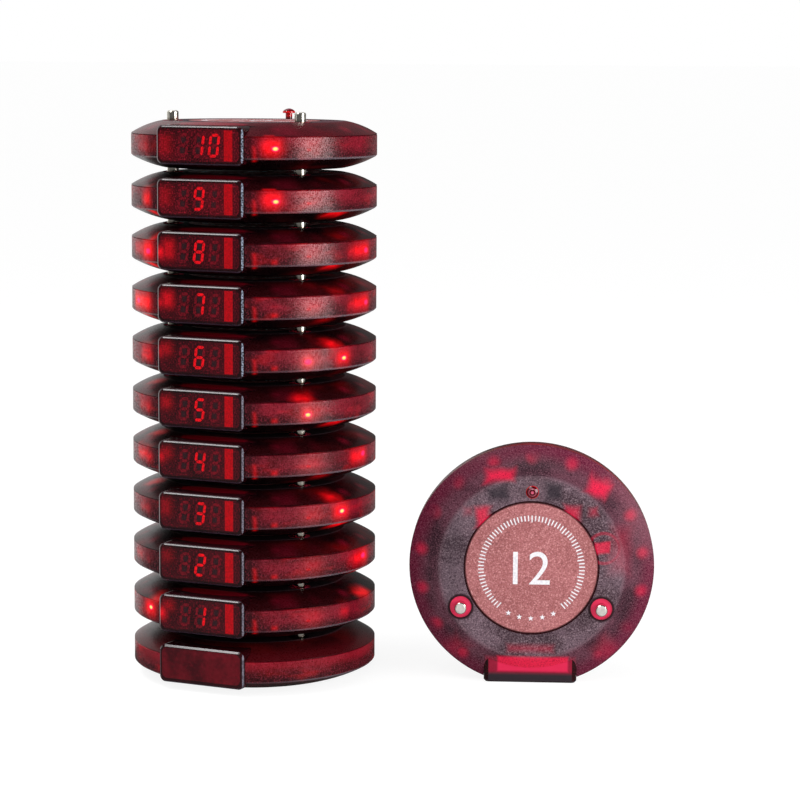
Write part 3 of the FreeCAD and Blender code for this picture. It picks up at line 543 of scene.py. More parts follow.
def shell_finish(name, place, tone, level=0, top=0.0):
    """Frosted translucent plum plastic, with what glows behind it; top is the share of the light that the top shows."""
    f = Finish(name, place)
    radius = f.radius()
    on_top = f.ramp(f.z, SEAM_HEIGHT + 0.1, SEAM_HEIGHT + 0.5)
    plateau = f.both(f.ramp(radius, *PLATEAU_FADES["loose" if tone == "loose" else "stack"]), on_top)
    base, grain = shell_colour(f, tone, level, radius, on_top, plateau)
    strength = 0.0
    if top:
        base, strength = light_through_top(f, base, grain, on_top, plateau, top)
    if level:
        strength = light_round_level(f, level, strength, radius)
    f.bump(grain, 0.2, 0.1)
    frosting = f.ramp(grain, 0.3, 0.7, 0.26, 0.38)
    return f.set(
        Base_Color=base,
        Roughness=frosting if tone == "loose" else f.brightest(frosting, f.both(plateau, 0.6)),
        Specular_IOR_Level=0.15,
        Emission_Color="ff1434" if tone == "loose" else "ff0a14",
        Emission_Strength=strength,
    )


# fades on the wall: heights of its lower half, where painted shade darkens it towards the foot, and of its upper half;
# angles of the painted shade beside the display and of the painted highlight along its foot
SHADED_LOWER_WALL = (10.0, 5.5)
UPPER_WALL = (8.5, 12.0)
SHADE_BESIDE_DISPLAY = (34.0, 24.0)
FOOT_HIGHLIGHT = (30.0, 60.0)


def wall_finish(name, place, level=0, low="520812", high="780f20"):
    """The frosted wall round a pager: dark crimson, grainy, with painted shade towards its foot and, on a stacked
    pager, beside the display, a painted highlight along its foot, and the lamps behind it.
    """
    f = Finish(name, place)
    angle = f.math("ABSOLUTE", f.math("DEGREES", f.math("ARCTAN2", f.x, f.both(f.y, -1.0))))
    base = f.mix(f.cloud(level), low, high)
    # painted shade, darker towards the foot
    base = f.mix(f.both(f.ramp(f.z, *SHADED_LOWER_WALL), 0.75), base, "20060c")
    if level:
        # painted shade beside the display
        base = f.mix(f.both(f.ramp(angle, *SHADE_BESIDE_DISPLAY), 0.85), base, "1c0409")
    else:
        base = f.mix(f.both(f.ramp(f.z, *UPPER_WALL), 0.5), base, "980c20")
    base, grain = f.speckle(base, "961c36", "0a0203", 1.9, 0.45, 0.6)
    # a painted highlight along the wall's foot
    foot_highlight = f.both(f.ramp(f.z, WALL_FOOT + 0.6, WALL_FOOT + 0.2), f.ramp(angle, *FOOT_HIGHLIGHT, 0.2, 0.7))
    base = f.mix(foot_highlight, base, "6a6068")
    seam_line = f.ramp(f.z, SEAM_HEIGHT - 0.3, SEAM_HEIGHT - 0.05)
    base = f.mix(f.both(seam_line, 0.7), base, "2c0208")
    colour, strength = light_behind_wall(f, level, grain)
    f.bump(grain, 0.3, 0.1)
    return f.set(
        Base_Color=base,
        Roughness=0.5,
        Specular_IOR_Level=0.0,
        Coat_Weight=f.ramp(grain, 0.35, 0.62, 0.2, 0.95),
        Coat_Roughness=0.27,
        Emission_Color=colour,
        Emission_Strength=strength,
    )


def light_behind_wall(f, level, grain):
    """Faint streaks, and on a stacked pager its patches and lamps. Gives the emission's colour and strength."""
    streak = f.ramp(f.noise(0.085, 2.0, (1, 1, 2.6), (40, 0, 17 * level)), 0.52, 0.78)
    glow = f.both(streak, 0.16)
    warm, core = 0.0, 0.0
    if level:
        light_marks = f.brightest(f.round_the_rim(WALL_LIGHT_MARKS, 2.0, 0.8), f.round_the_rim(WALL_HAZE, 9.0))
        on_wall = [patch for patch in GLOWS[level] if patch[1] > WALL_FOOT]
        glow = f.math("ADD", glow, f.brightest(light_marks, f.round_the_rim(on_wall, 5.0, 1.4)))
    for at, height, is_warm, *patch in WALL_LIGHTS.get(level, ()):
        bright = f.round_the_rim([(*patch, 1.0)], 6.0, 1.0)
        wide = f.round_the_rim([(*patch, 0.25)], 10.0)
        glow = f.math("ADD", f.brightest(glow, bright), wide)
        off = f.distance(wall_point(at, height), (1.5, 1.5, 1.0))
        core = f.brightest(core, f.ramp(off, 1.5, 0.6))
        warm = f.brightest(warm, f.ramp(off, 0.95, 0.3)) if is_warm else warm
    colour = f.mix(warm, f.mix(core, "ff0408", "ff2068"), "ffe070")
    glow = f.both(glow, f.ramp(grain, 0.2, 0.6, 0.75, 1.05))
    return colour, f.math("ADD", glow, f.both(core, 0.2))


# from each level up (0 is the base): low and high tone of a window's front, and its specks. On levels 1 to 8 the front
# is painted darker, with fewer light specks, than on 9 and 10: painted shade lower in the stack.
WINDOW_FRONTS = (
    (0, "3c040d", "5c0815", ("70121f", "26050a", 0.6, 0.3, 0.3)),
    (1, "260409", "3e0610", ("a01a2e", "120204", 1.5, 0.35, 0.7)),
    (9, "30050b", "4c0812", ("a01a2e", "120204", 1.5, 0.7, 0.7)),
)
# from each level up: low and high tone of the painted highlight on its right edge
EDGE_HIGHLIGHTS = ((0, "4e4a54", "74727e"), (6, "30343c", "8c96a8"))
# dark holes in a digit: distance above and below the middle, half size
HOLE_RISE = 2.1
HOLE_HALVES = (0.5, 1, 0.6)
# a window's rounded corners: inset of their centres, where their dark edge begins and ends
CORNER_INSET = 3.6
CORNER_EDGE = (2.05, 2.45)
# distances from a window's outer limits between which its edges begin: foot and left, top and right,
# the upper face and the dull line under it, the end of the polished face, the end of all painted edge highlights
WIDE_EDGE = (0.9, 0.5)
NARROW_EDGE = (0.7, 0.4)
LID_EDGE = (0.12, 0.03)
DULL_EDGE = (0.32, 0.26)
FACE_EDGE = (0.06, 0.2)
EDGE_DEPTH = (1.1, 0.7)
# where the window's upper face meets the dome
DOME_EDGE = (-43.4, -44.4)


def from_level(table, level):
    """The last row of a table that starts at this level or below."""
    return [row for first, *row in table if first <= level][-1]


def window_edges(f, base, grain, level, off_face, near):
    """Edges round a window's front painted lighter: painted highlights on the bevels, over their real reflections,
    brightest at the right. Gives the colour, the upper face's factor and the dull line's.
    """
    lower = f.ramp(f.z, *[WINDOW_FOOT + off for off in WIDE_EDGE])
    left = f.ramp(f.x, *[off - WINDOW_WIDTH / 2 for off in WIDE_EDGE])
    right = f.ramp(f.x, *[WINDOW_WIDTH / 2 - off for off in NARROW_EDGE])
    upper, lid, dull = [
        f.ramp(f.z, *[WINDOW_TOP - off for off in edge]) for edge in (NARROW_EDGE, LID_EDGE, DULL_EDGE)
    ]
    dull = f.both(dull, off_face, near)
    base = f.mix(f.both(lower, off_face, near), base, "332630")
    base = f.mix(f.both(left, off_face, near), base, "3e2a32")
    right_highlight = f.mix(f.ramp(grain, 0.4, 0.6), *from_level(EDGE_HIGHLIGHTS, level))
    base = f.mix(f.both(right, off_face, near), base, right_highlight)
    base = f.mix(lid, base, f.mix(f.ramp(grain, 0.3, 0.7), "2a0a12", "48141f"))
    base = f.mix(f.both(upper, off_face, near, f.math("SUBTRACT", 1.0, lid)), base, "3e343a")
    return f.mix(dull, base, "2a0a12"), lid, dull


def window_finish(name, place, level=0, top=0.0):
    """Polished dark red plastic: painted highlights on its edges, and on a pager a mottled front with light behind its
    left end.
    """
    f = Finish(name, place)
    low, high, specks = from_level(WINDOW_FRONTS, level)
    base, grain = f.speckle(f.mix(f.ramp(f.noise(0.12), 0.35, 0.65), low, high), *specks)
    for across in DIGIT_PLACES if level else ():
        for rise in (-HOLE_RISE, HOLE_RISE):
            hole = f.off_box((across + DIGIT_SLANT * rise, -WINDOW_FACE, WINDOW_MIDDLE + rise), HOLE_HALVES)
            base = f.mix(f.both(f.ramp(hole, 0.9, 0.1), 0.7), base, "241a1e")
    core = (WINDOW_WIDTH / 2 - CORNER_INSET, 2.0, WINDOW_HEIGHT / 2 - CORNER_INSET)
    corners = f.ramp(f.off_box((0, -WINDOW_FACE, WINDOW_MIDDLE), core), *CORNER_EDGE)
    base = f.mix(f.both(corners, 0.8), base, "0e0406")
    depth = f.both(f.y, -1.0)
    off_face, near = [f.ramp(depth, *[WINDOW_FACE - off for off in edge]) for edge in (FACE_EDGE, EDGE_DEPTH)]
    base, lid, dull = window_edges(f, base, grain, level, off_face, near)
    strength = 0.0
    if top:
        base = f.mix(f.both(lid, f.ramp(f.y, *DOME_EDGE), top), base, "2e262c")
        band = f.both(f.patches(FRONT_GLOWS), lid, top)
        base = f.mix(f.both(band, 0.9), base, "cf2650")
        strength = f.both(band, 0.12)
    for x, z, half, rise, share in FRONT_LIGHTS.get(level, ()):
        haze = f.fade(f.off_box((x, -WINDOW_FACE, z), (half * 0.6, 1, rise * 0.6)), 5.0)
        haze = f.both(haze, f.ramp(grain, 0.3, 0.7, 0.6, 1.0), f.math("SUBTRACT", 1.0, off_face))
        strength = f.brightest(f.both(haze, share), strength)
    return f.set(
        Base_Color=base,
        Roughness=f.math("MULTIPLY_ADD", dull, 0.45, 0.12),
        Specular_IOR_Level=0.35,
        Emission_Color="ff0a1c",
        Emission_Strength=strength,
    )


def label_finish(name, place, gloss=0.45):
    """Dusty rose printed sheet with a fine grain."""
    f = Finish(name, place)
    cloud = f.ramp(f.noise(0.05, 2.0), 0.3, 0.7)
    base = f.mix(cloud, "a05c5d", "ae6769")
    base, grain = f.speckle(base, "e0a5a5", "6a3638", 1.8, 0.65, 0.6)
    base = f.mix(f.ramp(f.radius(), LABEL_RADIUS - 0.6, LABEL_RADIUS - 0.05), base, "5a2226")
    f.bump(grain, 0.15, 0.05)
    return f.set(Base_Color=base, Roughness=0.42, Specular_IOR_Level=gloss)


def print_finish(name):
    """White ink, very slightly uneven."""
    f = Finish(name)
    uneven = f.ramp(f.noise(1.2, 3.0), 0.3, 0.7)
    return f.set(Base_Color=f.mix(uneven, "d9d6dc", "efedf1"), Roughness=0.45)


def pin_finish(name, place):
    """Bright nickel, with warm, dark painted shade at its foot."""
    f = Finish(name, place)
    wear = f.noise(0.9, 3.0)
    base = f.mix(wear, "d2ccbf", "f4f0e5")
    # painted shade where the pin meets the shell
    foot = f.ramp(f.z, PAGER_HEIGHT + 1.6, PAGER_HEIGHT)
    base = f.mix(f.both(foot, 0.6), base, "6e5230")
    crown = f.ramp(f.z, PAGER_HEIGHT + PIN_HEIGHT - 0.5, PAGER_HEIGHT + PIN_HEIGHT - 0.15)
    rubbed = f.both(f.ramp(wear, 0.3, 0.7, 0.35, 0.45), crown)
    return f.set(
        Base_Color=f.mix(crown, base, f.mix(wear, "b8b4ae", "e6e2dc")),
        Metallic=f.ramp(crown, 0.0, 1.0, 1.0, 0.3),
        Roughness=f.brightest(f.ramp(wear, 0.3, 0.7, 0.06, 0.16), rubbed),
    )


def button_finish(name, place):
    """Clear red plastic, painted darker below its cap for the shade there, with rings of painted shade and highlight in
    its crown and a faint painted glow.
    """
    f = Finish(name, place)
    radius = f.radius(0.0, BUTTON_RING)
    base = f.mix(f.noise(0.5, 2.0), "b4060f", "d40a14")
    # painted shade under the cap
    base = f.mix(f.ramp(f.z, PAGER_HEIGHT + 1.4, PAGER_HEIGHT + 0.6), base, "3c050c")
    crown = f.ramp(f.z, PAGER_HEIGHT + BUTTON_HEIGHT - 1.15, PAGER_HEIGHT + BUTTON_HEIGHT - 1.05)
    # rings painted on the crown for how the clear dome looks: dark ones of painted shade, pale ones of painted
    # highlight
    for ring, colour in (
        (f.ramp(radius, BUTTON_RADIUS - 0.1, BUTTON_RADIUS - 0.25), "180306"),
        (f.ramp(radius, 1.95, 1.8), "5c1424"),
        (f.band(radius, 1.45, 0.1, 0.15), "8a4656"),
        (f.band(radius, 1.0, 0.15, 0.15), "180306"),
        (f.ramp(radius, 0.7, 0.5), "c0566e"),
    ):
        base = f.mix(f.both(crown, ring), base, colour)
    return f.set(
        Base_Color=base,
        Roughness=0.1,
        Specular_IOR_Level=0.6,
        Emission_Color="ff0810",
        # a faint painted glow
        Emission_Strength=0.04,
    )


def lit_finish(name, colour, low, high):
    """Light behind a finely mottled front: emission that varies from speck to speck."""
    f = Finish(name)
    return f.set(
        Base_Color="180206",
        Roughness=0.3,
        Specular_IOR_Level=0.3,
        Emission_Color=colour,
        Emission_Strength=f.ramp(f.noise(1.8), 0.3, 0.68, low, high),
    )


def plain_finish(name, colour, other, roughness, metallic=0.0, specular=0.5, scale=0.8, relief=0.0):
    """A moulded, plated or rubber piece with slight mottling."""
    f = Finish(name)
    mottle = f.noise(scale, 3.0)
    if relief:
        f.bump(mottle, relief)
    base = f.mix(f.ramp(mottle, 0.3, 0.7), colour, other)
    return f.set(Base_Color=base, Roughness=roughness, Metallic=metallic, Specular_IOR_Level=specular)


# --- pieces ---


def prism(bm, lower, upper):
    """A flat plate between two like outlines."""
    lower = [bm.verts.new(point) for point in lower]
    upper = [bm.verts.new(point) for point in upper]
    bm.faces.new(lower)
    bm.faces.new(upper)
    for i in range(len(lower)):
        j = (i + 1) % len(lower)
        bm.faces.new((lower[i], lower[j], upper[j], upper[i]))


def inlay(bm, outline):
    """A plate let into the display's face: outline to the viewer's right and up."""
    depths = (WINDOW_FACE - INLAY_DEPTH, WINDOW_FACE + INLAY_PROUD)
    prism(bm, *([(u, -depth, v) for u, v in outline] for depth in depths))


def flat_print(bm, outline):
    """A plate of ink on the label."""
    heights = (PAGER_HEIGHT - PRINT_SUNK, PAGER_HEIGHT + PRINT_PROUD)
    prism(bm, *([(u, v, height) for u, v in outline] for height in heights))


def piece(name, place, body, material, draw):
    """A new mesh object, drawn in a pager's millimetres, that rides on a body."""
    bm = bmesh.new()
    draw(bm)
    bmesh.ops.recalc_face_normals(bm, faces=bm.faces)
    bm.transform(place)
    mesh = bpy.data.meshes.new(name)
    bm.to_mesh(mesh)
    bm.free()
    mesh.materials.append(material)
    made = bpy.data.objects.new(name, mesh)
    bpy.context.scene.collection.objects.link(made)
    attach(made, body)


# the ends of each stroke of a seven-segment digit, and the strokes of each digit
SEGMENTS = {
    "a": ((-1, 1), (1, 1)),
    "b": ((1, 1), (1, 0)),
    "c": ((1, 0), (1, -1)),
    "d": ((-1, -1), (1, -1)),
    "e": ((-1, 0), (-1, -1)),
    "f": ((-1, 1), (-1, 0)),
    "g": ((-1, 0), (1, 0)),
}
DIGITS = ("abcdef", "bc", "abged", "abgcd", "fgbc", "afgcd", "afgedc", "abc", "abcdefg", "abcdfg")


def draw_stroke(bm, ends, middle):
    """One stroke of a digit, pointed at both ends; middle is the digit's place across the display."""
    half_u = (DIGIT_WIDTH - DIGIT_STROKE) / 2
    half_v = (DIGIT_HEIGHT - DIGIT_STROKE) / 2
    start, end = [Vector((u * half_u, v * half_v)) for u, v in ends]
    along = (end - start).normalized()
    side = Vector((-along.y, along.x)) * DIGIT_STROKE / 2
    start += along * DIGIT_GAP
    end -= along * DIGIT_GAP
    inset = along * DIGIT_STROKE / 2
    corners = (start, start + inset + side, end - inset + side, end, end - inset - side, start + inset - side)
    inlay(bm, [(middle + p.x + DIGIT_SLANT * p.y, WINDOW_MIDDLE + p.y) for p in corners])


def draw_digits(bm, number, lit):
    """The lit or the unlit strokes of a display's three places, of which those beside the number are blank."""
    shown = (" " + str(number)).ljust(len(DIGIT_PLACES))
    for middle, character in zip(DIGIT_PLACES, shown):
        on = DIGITS[int(character)] if character.isdigit() else ""
        for letter, ends in SEGMENTS.items():
            if (letter in on) == lit:
                draw_stroke(bm, ends, middle)


def draw_bar(bm):
    u, v = BAR_WIDTH / 2, BAR_HEIGHT / 2
    inlay(bm, [(BAR_PLACE + a, WINDOW_MIDDLE + b) for a, b in ((-u, -v), (u, -v), (u, v), (-u, v))])


def draw_ticks(bm):
    """A ring of plain ticks, open at the bottom."""
    inner, outer = TICK_RING
    count = int(TICK_REACH / TICK_STEP)
    for index in range(-count, count + 1):
        turn = math.radians(index * TICK_STEP)
        out = Vector((math.sin(turn), math.cos(turn)))
        side = Vector((out.y, -out.x)) * TICK_WIDTH / 2
        foot = inner if index % LONG_TICK_EVERY else inner - LONG_TICK_EXTRA
        flat_print(bm, [out * foot - side, out * foot + side, out * outer + side, out * outer - side])


def draw_stars(bm):
    """A row of stars in the gap of the ring."""
    for index in range(-STARS_EACH_SIDE, STARS_EACH_SIDE + 1):
        turn = math.radians(index * STAR_STEP)
        middle = Vector((math.sin(turn), -math.cos(turn))) * STAR_RING
        points = []
        for corner in range(2 * STAR_POINTS):
            reach = STAR_RADIUS * STAR_INNER_SHARE if corner % 2 else STAR_RADIUS
            at = math.radians(180 / STAR_POINTS * corner)
            points.append(middle + Vector((math.sin(at), math.cos(at))) * reach)
        flat_print(bm, points)


def draw_numeral(bm, number):
    """A plain printed number in the middle of the label."""
    text = bpy.data.curves.new("numeral", "FONT")
    text.body = str(number)
    text.align_x = "CENTER"
    text.extrude = 0.5  # scaled to the print's thickness below
    holder = bpy.data.objects.new("numeral", text)
    flat = bpy.data.meshes.new_from_object(holder)
    low = Vector([min(v.co[i] for v in flat.vertices) for i in range(3)])
    high = Vector([max(v.co[i] for v in flat.vertices) for i in range(3)])
    scale = min(wanted / (high[i] - low[i]) for i, wanted in enumerate(NUMERAL_SIZE))
    depth = (PRINT_SUNK + PRINT_PROUD) / (high.z - low.z)
    middle = (low + high) / 2
    flat.transform(Matrix.Diagonal((scale, scale, depth, 1)) @ Matrix.Translation(-middle))
    flat.transform(Matrix.Translation((0, 0, PAGER_HEIGHT + (PRINT_PROUD - PRINT_SUNK) / 2)))
    bm.from_mesh(flat)
    bpy.data.objects.remove(holder)
    bpy.data.curves.remove(text)
    bpy.data.meshes.remove(flat)


def draw_print(bm, number):
    draw_ticks(bm)
    draw_stars(bm)
    draw_numeral(bm, number)


# --- carried-over nodes ---


def dress(node, place, rules, default):
    """Gives each face of a node the material of the first rule that its middle meets, in pager millimetres."""
    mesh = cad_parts[node].data
    mesh.materials.clear()
    mesh.materials.append(default)
    for _, material in rules:
        mesh.materials.append(material)
    to_local = place.inverted()
    for face in mesh.polygons:
        at = to_local @ face.center
        face.material_index = next((i for i, (meets, _) in enumerate(rules, 1) if meets(at)), 0)


def near_pin(at, limit):
    return math.hypot(abs(at.x) - PIN_X, at.y - PIN_Y) < limit


def within(limits, value):
    return limits[0] < value < limits[1]


def is_label(at):
    return at.z > PAGER_HEIGHT - LABEL_THICKNESS - MARGIN and math.hypot(at.x, at.y) < LABEL_RADIUS + MARGIN


def is_pin(at):
    return at.z > PAGER_HEIGHT - RECESS_DEPTH + MARGIN and near_pin(at, PIN_RADIUS + 2 * MARGIN)


def is_window(at):
    inside = abs(at.x) < WINDOW_WIDTH / 2 + WINDOW_MARGIN and at.y < -(WINDOW_FACE - WINDOW_DEPTH) + WINDOW_MARGIN
    return inside and within((WINDOW_FOOT - WINDOW_MARGIN, WINDOW_TOP + WINDOW_MARGIN), at.z)


def is_contact(at):
    return near_pin(at, CONTACT_RADIUS) and within(CONTACT_HEIGHTS, at.z)


def is_wall(at):
    return math.hypot(at.x, at.y) > WALL_INSIDE and within(WALL_HEIGHTS, at.z)


def is_rim_lamp(at):
    return math.hypot(at.x, at.y) > LAMP_INSIDE and within(LAMP_HEIGHTS, at.z)


def is_display(at):
    return at.y < -MODULE_BACK and abs(at.x) < MODULE_HALF_WIDTH


def is_battery(at):
    return at.z < BATTERY_TOP and abs(at.x) < BATTERY_HALVES[0] and abs(at.y - BATTERY_MIDDLE) < BATTERY_HALVES[1]


def is_motor(at):
    return at.z < MOTOR_TOP and at.x < -MOTOR_SIDE


def is_board(at):
    return within(BOARD_HEIGHTS, at.z)


def is_base_board(at):
    return at.z < BASE_BOARD_TOP


def is_base_post(at):
    return at.y > 0


def is_inlet_pin(at):
    return math.hypot(at.x, at.z - INLET_HEIGHT) < INLET_PIN_RADIUS and at.y > INLET_PIN_FRONT


def is_screw(at):
    in_ring = within(SCREW_RING, math.hypot(at.x, at.y))
    return in_ring and within(SCREW_HEIGHTS, at.z) and not near_pin(at, SCREW_FROM_PIN)


# --- build ---

lit_digit = lit_finish("lit_segments", "ff0a1a", 0.4, 0.95)
bar_light = lit_finish("display_bar", "e80416", 0.34, 0.6)
dim_digit = plain_finish("dim_segments", "420812", "78101e", 0.12, specular=0.3, scale=1.8)
white_ink = print_finish("white_ink")
rim_lamp = lit_finish("rim_lamps", "ff1830", 0.8, 1.0)
green_board = plain_finish("solder_mask", "0d3a20", "145030", 0.35, scale=0.4)
black_plastic = plain_finish("black_moulding", "0c0c0e", "17171a", 0.45, relief=0.1)
dark_module = plain_finish("display_moulding", "0e0608", "1c0a0e", 0.3)
shrink_wrap = plain_finish("shrink_wrap", "4e5663", "636c7a", 0.4, scale=0.3)
bright_steel = plain_finish("bright_steel", "9c9ca2", "c2c2c8", 0.28, metallic=1.0)
zinc = plain_finish("zinc_plate", "86868c", "a9a9a4", 0.35, metallic=1.0)
rubber = plain_finish("foot_rubber", "121212", "1e1e1e", 0.8, scale=2.0, relief=0.3)

INNER_RULES = [
    (is_rim_lamp, rim_lamp),
    (is_display, dark_module),
    (is_battery, shrink_wrap),
    (is_motor, bright_steel),
    (is_board, green_board),
]


def draw_pager(pager, place, number):
    """The lit and unlit strokes of a pager's display, its bar, and the print on its label."""
    piece(pager + "_digits", place, pager, lit_digit, lambda bm: draw_digits(bm, number, True))
    piece(pager + "_unlit_digits", place, pager, dim_digit, lambda bm: draw_digits(bm, number, False))
    piece(pager + "_bar", place, pager, bar_light, draw_bar)
    piece(pager + "_print", place, pager, white_ink, lambda bm: draw_print(bm, number))


for level in range(1, PAGER_COUNT + 1):
    pager = f"pager_{level:02d}"
    place = stacked_place(pager + "_top_cover")
    shell = shell_finish(pager + "_shell", place, "top" if level == PAGER_COUNT else "stack", level, STACKED_TOP_SHARE)
    wall = wall_finish(pager + "_wall", place, level)
    window = window_finish(pager + "_window", place, level)
    label = label_finish(pager + "_label", place, gloss=0.15)
    nickel = pin_finish(pager + "_nickel", place)
    top_rules = [(is_label, label), (is_pin, nickel), (is_window, window), (is_wall, wall)]
    dress(pager + "_top_cover", place, top_rules, shell)
    dress(pager + "_bottom_case", place, [(is_contact, nickel), (is_screw, zinc), (is_wall, wall)], shell)
    dress(pager + "_inner_parts", place, INNER_RULES, black_plastic)
    dress(pager + "_button", place, [], button_finish(pager + "_button", place))
    draw_pager(pager, place, level)

base = stacked_place("charging_base_charging_pins")
base_case = base @ Matrix.Translation((0, 0, -BASE_DROP))
base_shell = shell_finish("base_shell", base_case, "base")
base_wall = wall_finish("base_wall", base_case, low="4a060e", high="6c0c1a")
base_nickel = pin_finish("base_nickel", base)
base_post = button_finish("base_post", base)
for node, place, rules, default in (
    ("top_cover", base_case, [(is_wall, base_wall)], base_shell),
    ("bottom_case", base_case, [(is_wall, base_wall)], base_shell),
    ("window", base, [], window_finish("base_window", base)),
    ("charging_pins", base, [(is_base_post, base_post)], base_nickel),
    ("circuit_board", base, [(is_base_board, green_board)], black_plastic),
    ("power_inlet", base, [(is_inlet_pin, bright_steel)], black_plastic),
    ("foot_pad", base, [], rubber),
    ("case_screws", base, [], zinc),
):
    dress("charging_base_" + node, place, rules, default)

loose = loose_place()
loose_shell = shell_finish("loose_shell", loose, "loose", top=1.0)
loose_wall = wall_finish("loose_wall", loose)
for node, rules, default in (
    ("top_cover", [(is_wall, loose_wall)], loose_shell),
    ("bottom_case", [(is_wall, loose_wall)], loose_shell),
    ("display_window", [], window_finish("loose_window", loose, LOOSE_NUMBER, top=1.0)),
    ("label", [], label_finish("loose_label", loose)),
    ("charging_contacts", [], pin_finish("loose_nickel", loose)),
    ("button", [], button_finish("loose_button", loose)),
    ("circuit_board", [(is_rim_lamp, rim_lamp), (is_board, green_board)], black_plastic),
    ("display_module", [], dark_module),
    ("battery", [], shrink_wrap),
    ("vibration_motor", [], bright_steel),
    ("buzzer", [], black_plastic),
    ("case_screws", [], zinc),
):
    dress("loose_pager_" + node, loose, rules, default)
draw_pager("loose_pager", loose, LOOSE_NUMBER)


# --- studio ---

PHOTO_WIDTH = 800
FOCAL_PIXELS = 2545
SENSOR_WIDTH = 36.0
CAMERA_AT = Vector((0.472512, -0.930165, 0.2522))
CAMERA_RIGHT = Vector((0.9157596, 0.40167641, 0.00635787))
CAMERA_UP = Vector((-0.05881444, 0.11839834, 0.99122283))

# what reflections find: a bright panel, its middle and half width by compass, a dim front, a less dim rear and top
BRIGHT_AT = -122.0
BRIGHT_HALF = 28.0
BRIGHT_SOFT = 5.0
REAR_FADE = (145, 172)
ROOM_FRONT = 0.03
ROOM_BEHIND = 0.2
ROOM_TOP = 0.5
TOP_FADE = (0.45, 0.8)
ROOM_LIGHT = 0.3

FLOOR_SIZE = 400
FLOOR_DROP = 0.0002
FLOOR_TONE = 0.86
FLOOR_GLOW = 1.13
FLOOR_SHARE = 0.78

# the sky: where it shines from, strength, spread in degrees; soft lamps: place, point aimed at, size, power
SKY = ((-0.3, -0.55, 0.9), 1.0, 40)
LAMPS = {
    "overhead": ((-0.5, -0.25, 1.25), (0, 0, 0.12), (0.4, 0.4), 6),
    "key_right": ((1.16, -0.12, 0.3), (0, 0, 0.12), (0.72, 0.9), 14),
    "top_front": ((0.5, -0.95, 0.85), (0.15, 0, 0.05), (0.5, 0.4), 2.5),
    "fill_left": ((-1.0, -0.7, 0.6), (0, 0, 0.12), (0.5, 0.9), 1),
}


def add_camera():
    data = bpy.data.cameras.new("camera")
    data.sensor_width = SENSOR_WIDTH
    data.lens = FOCAL_PIXELS * SENSOR_WIDTH / PHOTO_WIDTH
    data.clip_start = 0.01
    camera = bpy.data.objects.new("camera", data)
    back = CAMERA_RIGHT.cross(CAMERA_UP)
    camera.matrix_world = Matrix.Translation(CAMERA_AT) @ Matrix((CAMERA_RIGHT, CAMERA_UP, back)).transposed().to_4x4()
    bpy.context.scene.collection.objects.link(camera)
    bpy.context.scene.camera = camera


def add_light(name, kind, power, shine):
    """A light that shines along a direction."""
    data = bpy.data.lights.new(name, kind)
    data.energy = power
    light = bpy.data.objects.new(name, data)
    light.rotation_euler = shine.to_track_quat("-Z", "Y").to_euler()
    bpy.context.scene.collection.objects.link(light)
    return light


def add_sun(name, direction, power, spread):
    add_light(name, "SUN", power, -Vector(direction)).data.angle = math.radians(spread)


def add_area(name, at, aim, size, power):
    light = add_light(name, "AREA", power, Vector(aim) - Vector(at))
    light.location = at
    light.data.shape = "RECTANGLE"
    light.data.size, light.data.size_y = size


def seen_directly(n):
    """1 for camera, glossy and transmission rays, and the camera's flag."""
    path = n.nodes.new("ShaderNodeLightPath").outputs
    camera = path["Is Camera Ray"]
    return n.brightest(camera, path["Is Glossy Ray"], path["Is Transmission Ray"]), camera


def bright_side(n, place):
    """Tone of the room by compass: bright at the left and left rear, dim straight behind, dark elsewhere."""
    x, y, z = n.split(place)
    compass = n.math("ARCTAN2", x, n.both(y, -1.0))
    away = n.math("ABSOLUTE", n.math("SUBTRACT", compass, math.radians(BRIGHT_AT)))
    left = n.ramp(away, math.radians(BRIGHT_HALF + BRIGHT_SOFT), math.radians(BRIGHT_HALF - BRIGHT_SOFT))
    start, end = [math.radians(angle) for angle in REAR_FADE]
    behind = n.ramp(n.math("ABSOLUTE", compass), start, end, ROOM_FRONT, ROOM_BEHIND)
    return n.math("MAXIMUM", left, behind), z


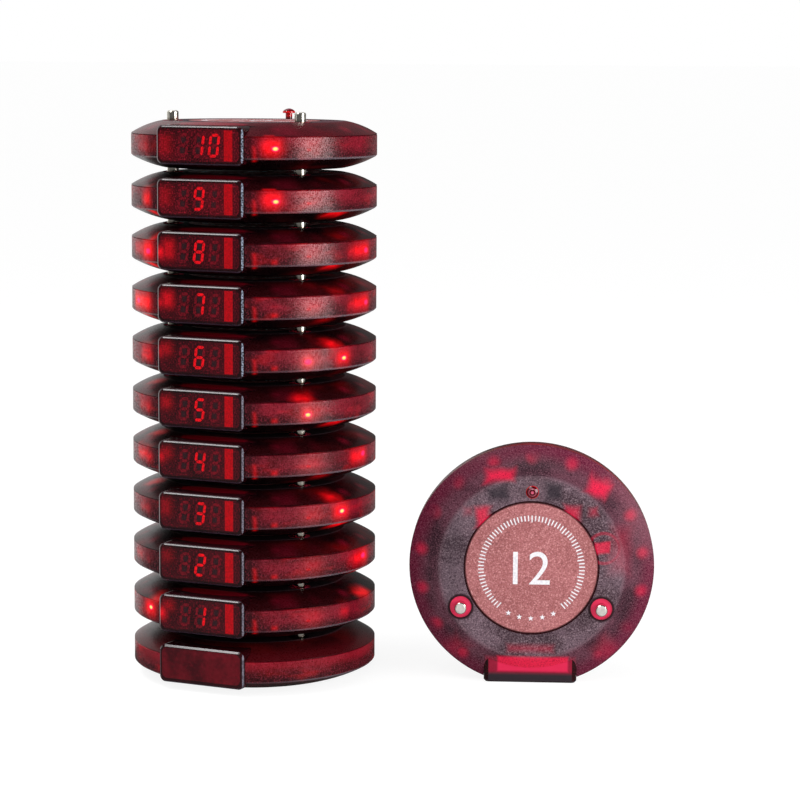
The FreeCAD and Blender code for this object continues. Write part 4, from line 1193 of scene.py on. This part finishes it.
def add_world():
    """A white room, of which reflections find the left and the left rear bright and the rest dim."""
    world = bpy.data.worlds.new("studio")
    bpy.context.scene.world = world
    world.use_nodes = True
    n = Nodes(world.node_tree)
    background = n.nodes["Background"]
    background.inputs["Color"].default_value = (1, 1, 1, 1)
    seen, camera = seen_directly(n)
    side, up = bright_side(n, n.nodes.new("ShaderNodeTexCoord").outputs["Generated"])
    room = n.both(side, n.ramp(up, *TOP_FADE, 1.0, ROOM_TOP))
    strength = n.nodes.new("ShaderNodeMix")
    strength.inputs["A"].default_value = ROOM_LIGHT
    n.links.new(seen, strength.inputs["Factor"])
    n.links.new(n.brightest(camera, room), strength.inputs["B"])
    n.links.new(strength.outputs["Result"], background.inputs["Strength"])


def add_floor():
    """A white floor that keeps the shadow, and that reflections find as bright or dark as the room above it."""
    bpy.ops.mesh.primitive_plane_add(size=FLOOR_SIZE, location=(0, 0, -FLOOR_DROP))
    floor = bpy.context.object
    floor.name = "floor"
    material = bpy.data.materials.new("floor")
    material.use_nodes = True
    n = Nodes(material.node_tree)
    shader = n.nodes["Principled BSDF"]
    tone = (FLOOR_TONE, FLOOR_TONE, FLOOR_TONE, 1)
    for name, value in (("Base Color", tone), ("Roughness", 0.9), ("Specular IOR Level", 0.0)):
        shader.inputs[name].default_value = value
    emission = n.nodes.new("ShaderNodeEmission")
    emission.inputs["Strength"].default_value = FLOOR_GLOW
    seen, camera = seen_directly(n)
    side, _ = bright_side(n, n.nodes.new("ShaderNodeNewGeometry").outputs["Position"])
    n.links.new(n.brightest(camera, side), emission.inputs["Color"])
    blend = n.nodes.new("ShaderNodeMixShader")
    for socket, source in zip(blend.inputs, (n.both(seen, FLOOR_SHARE), shader.outputs[0], emission.outputs[0])):
        n.links.new(source, socket)
    n.links.new(blend.outputs[0], n.nodes["Material Output"].inputs["Surface"])
    floor.data.materials.append(material)


add_camera()
add_world()
add_floor()
add_sun("sky", *SKY)
for name, settings in LAMPS.items():
    add_area(name, *settings)

bpy.context.scene.view_settings.view_transform = "Standard"
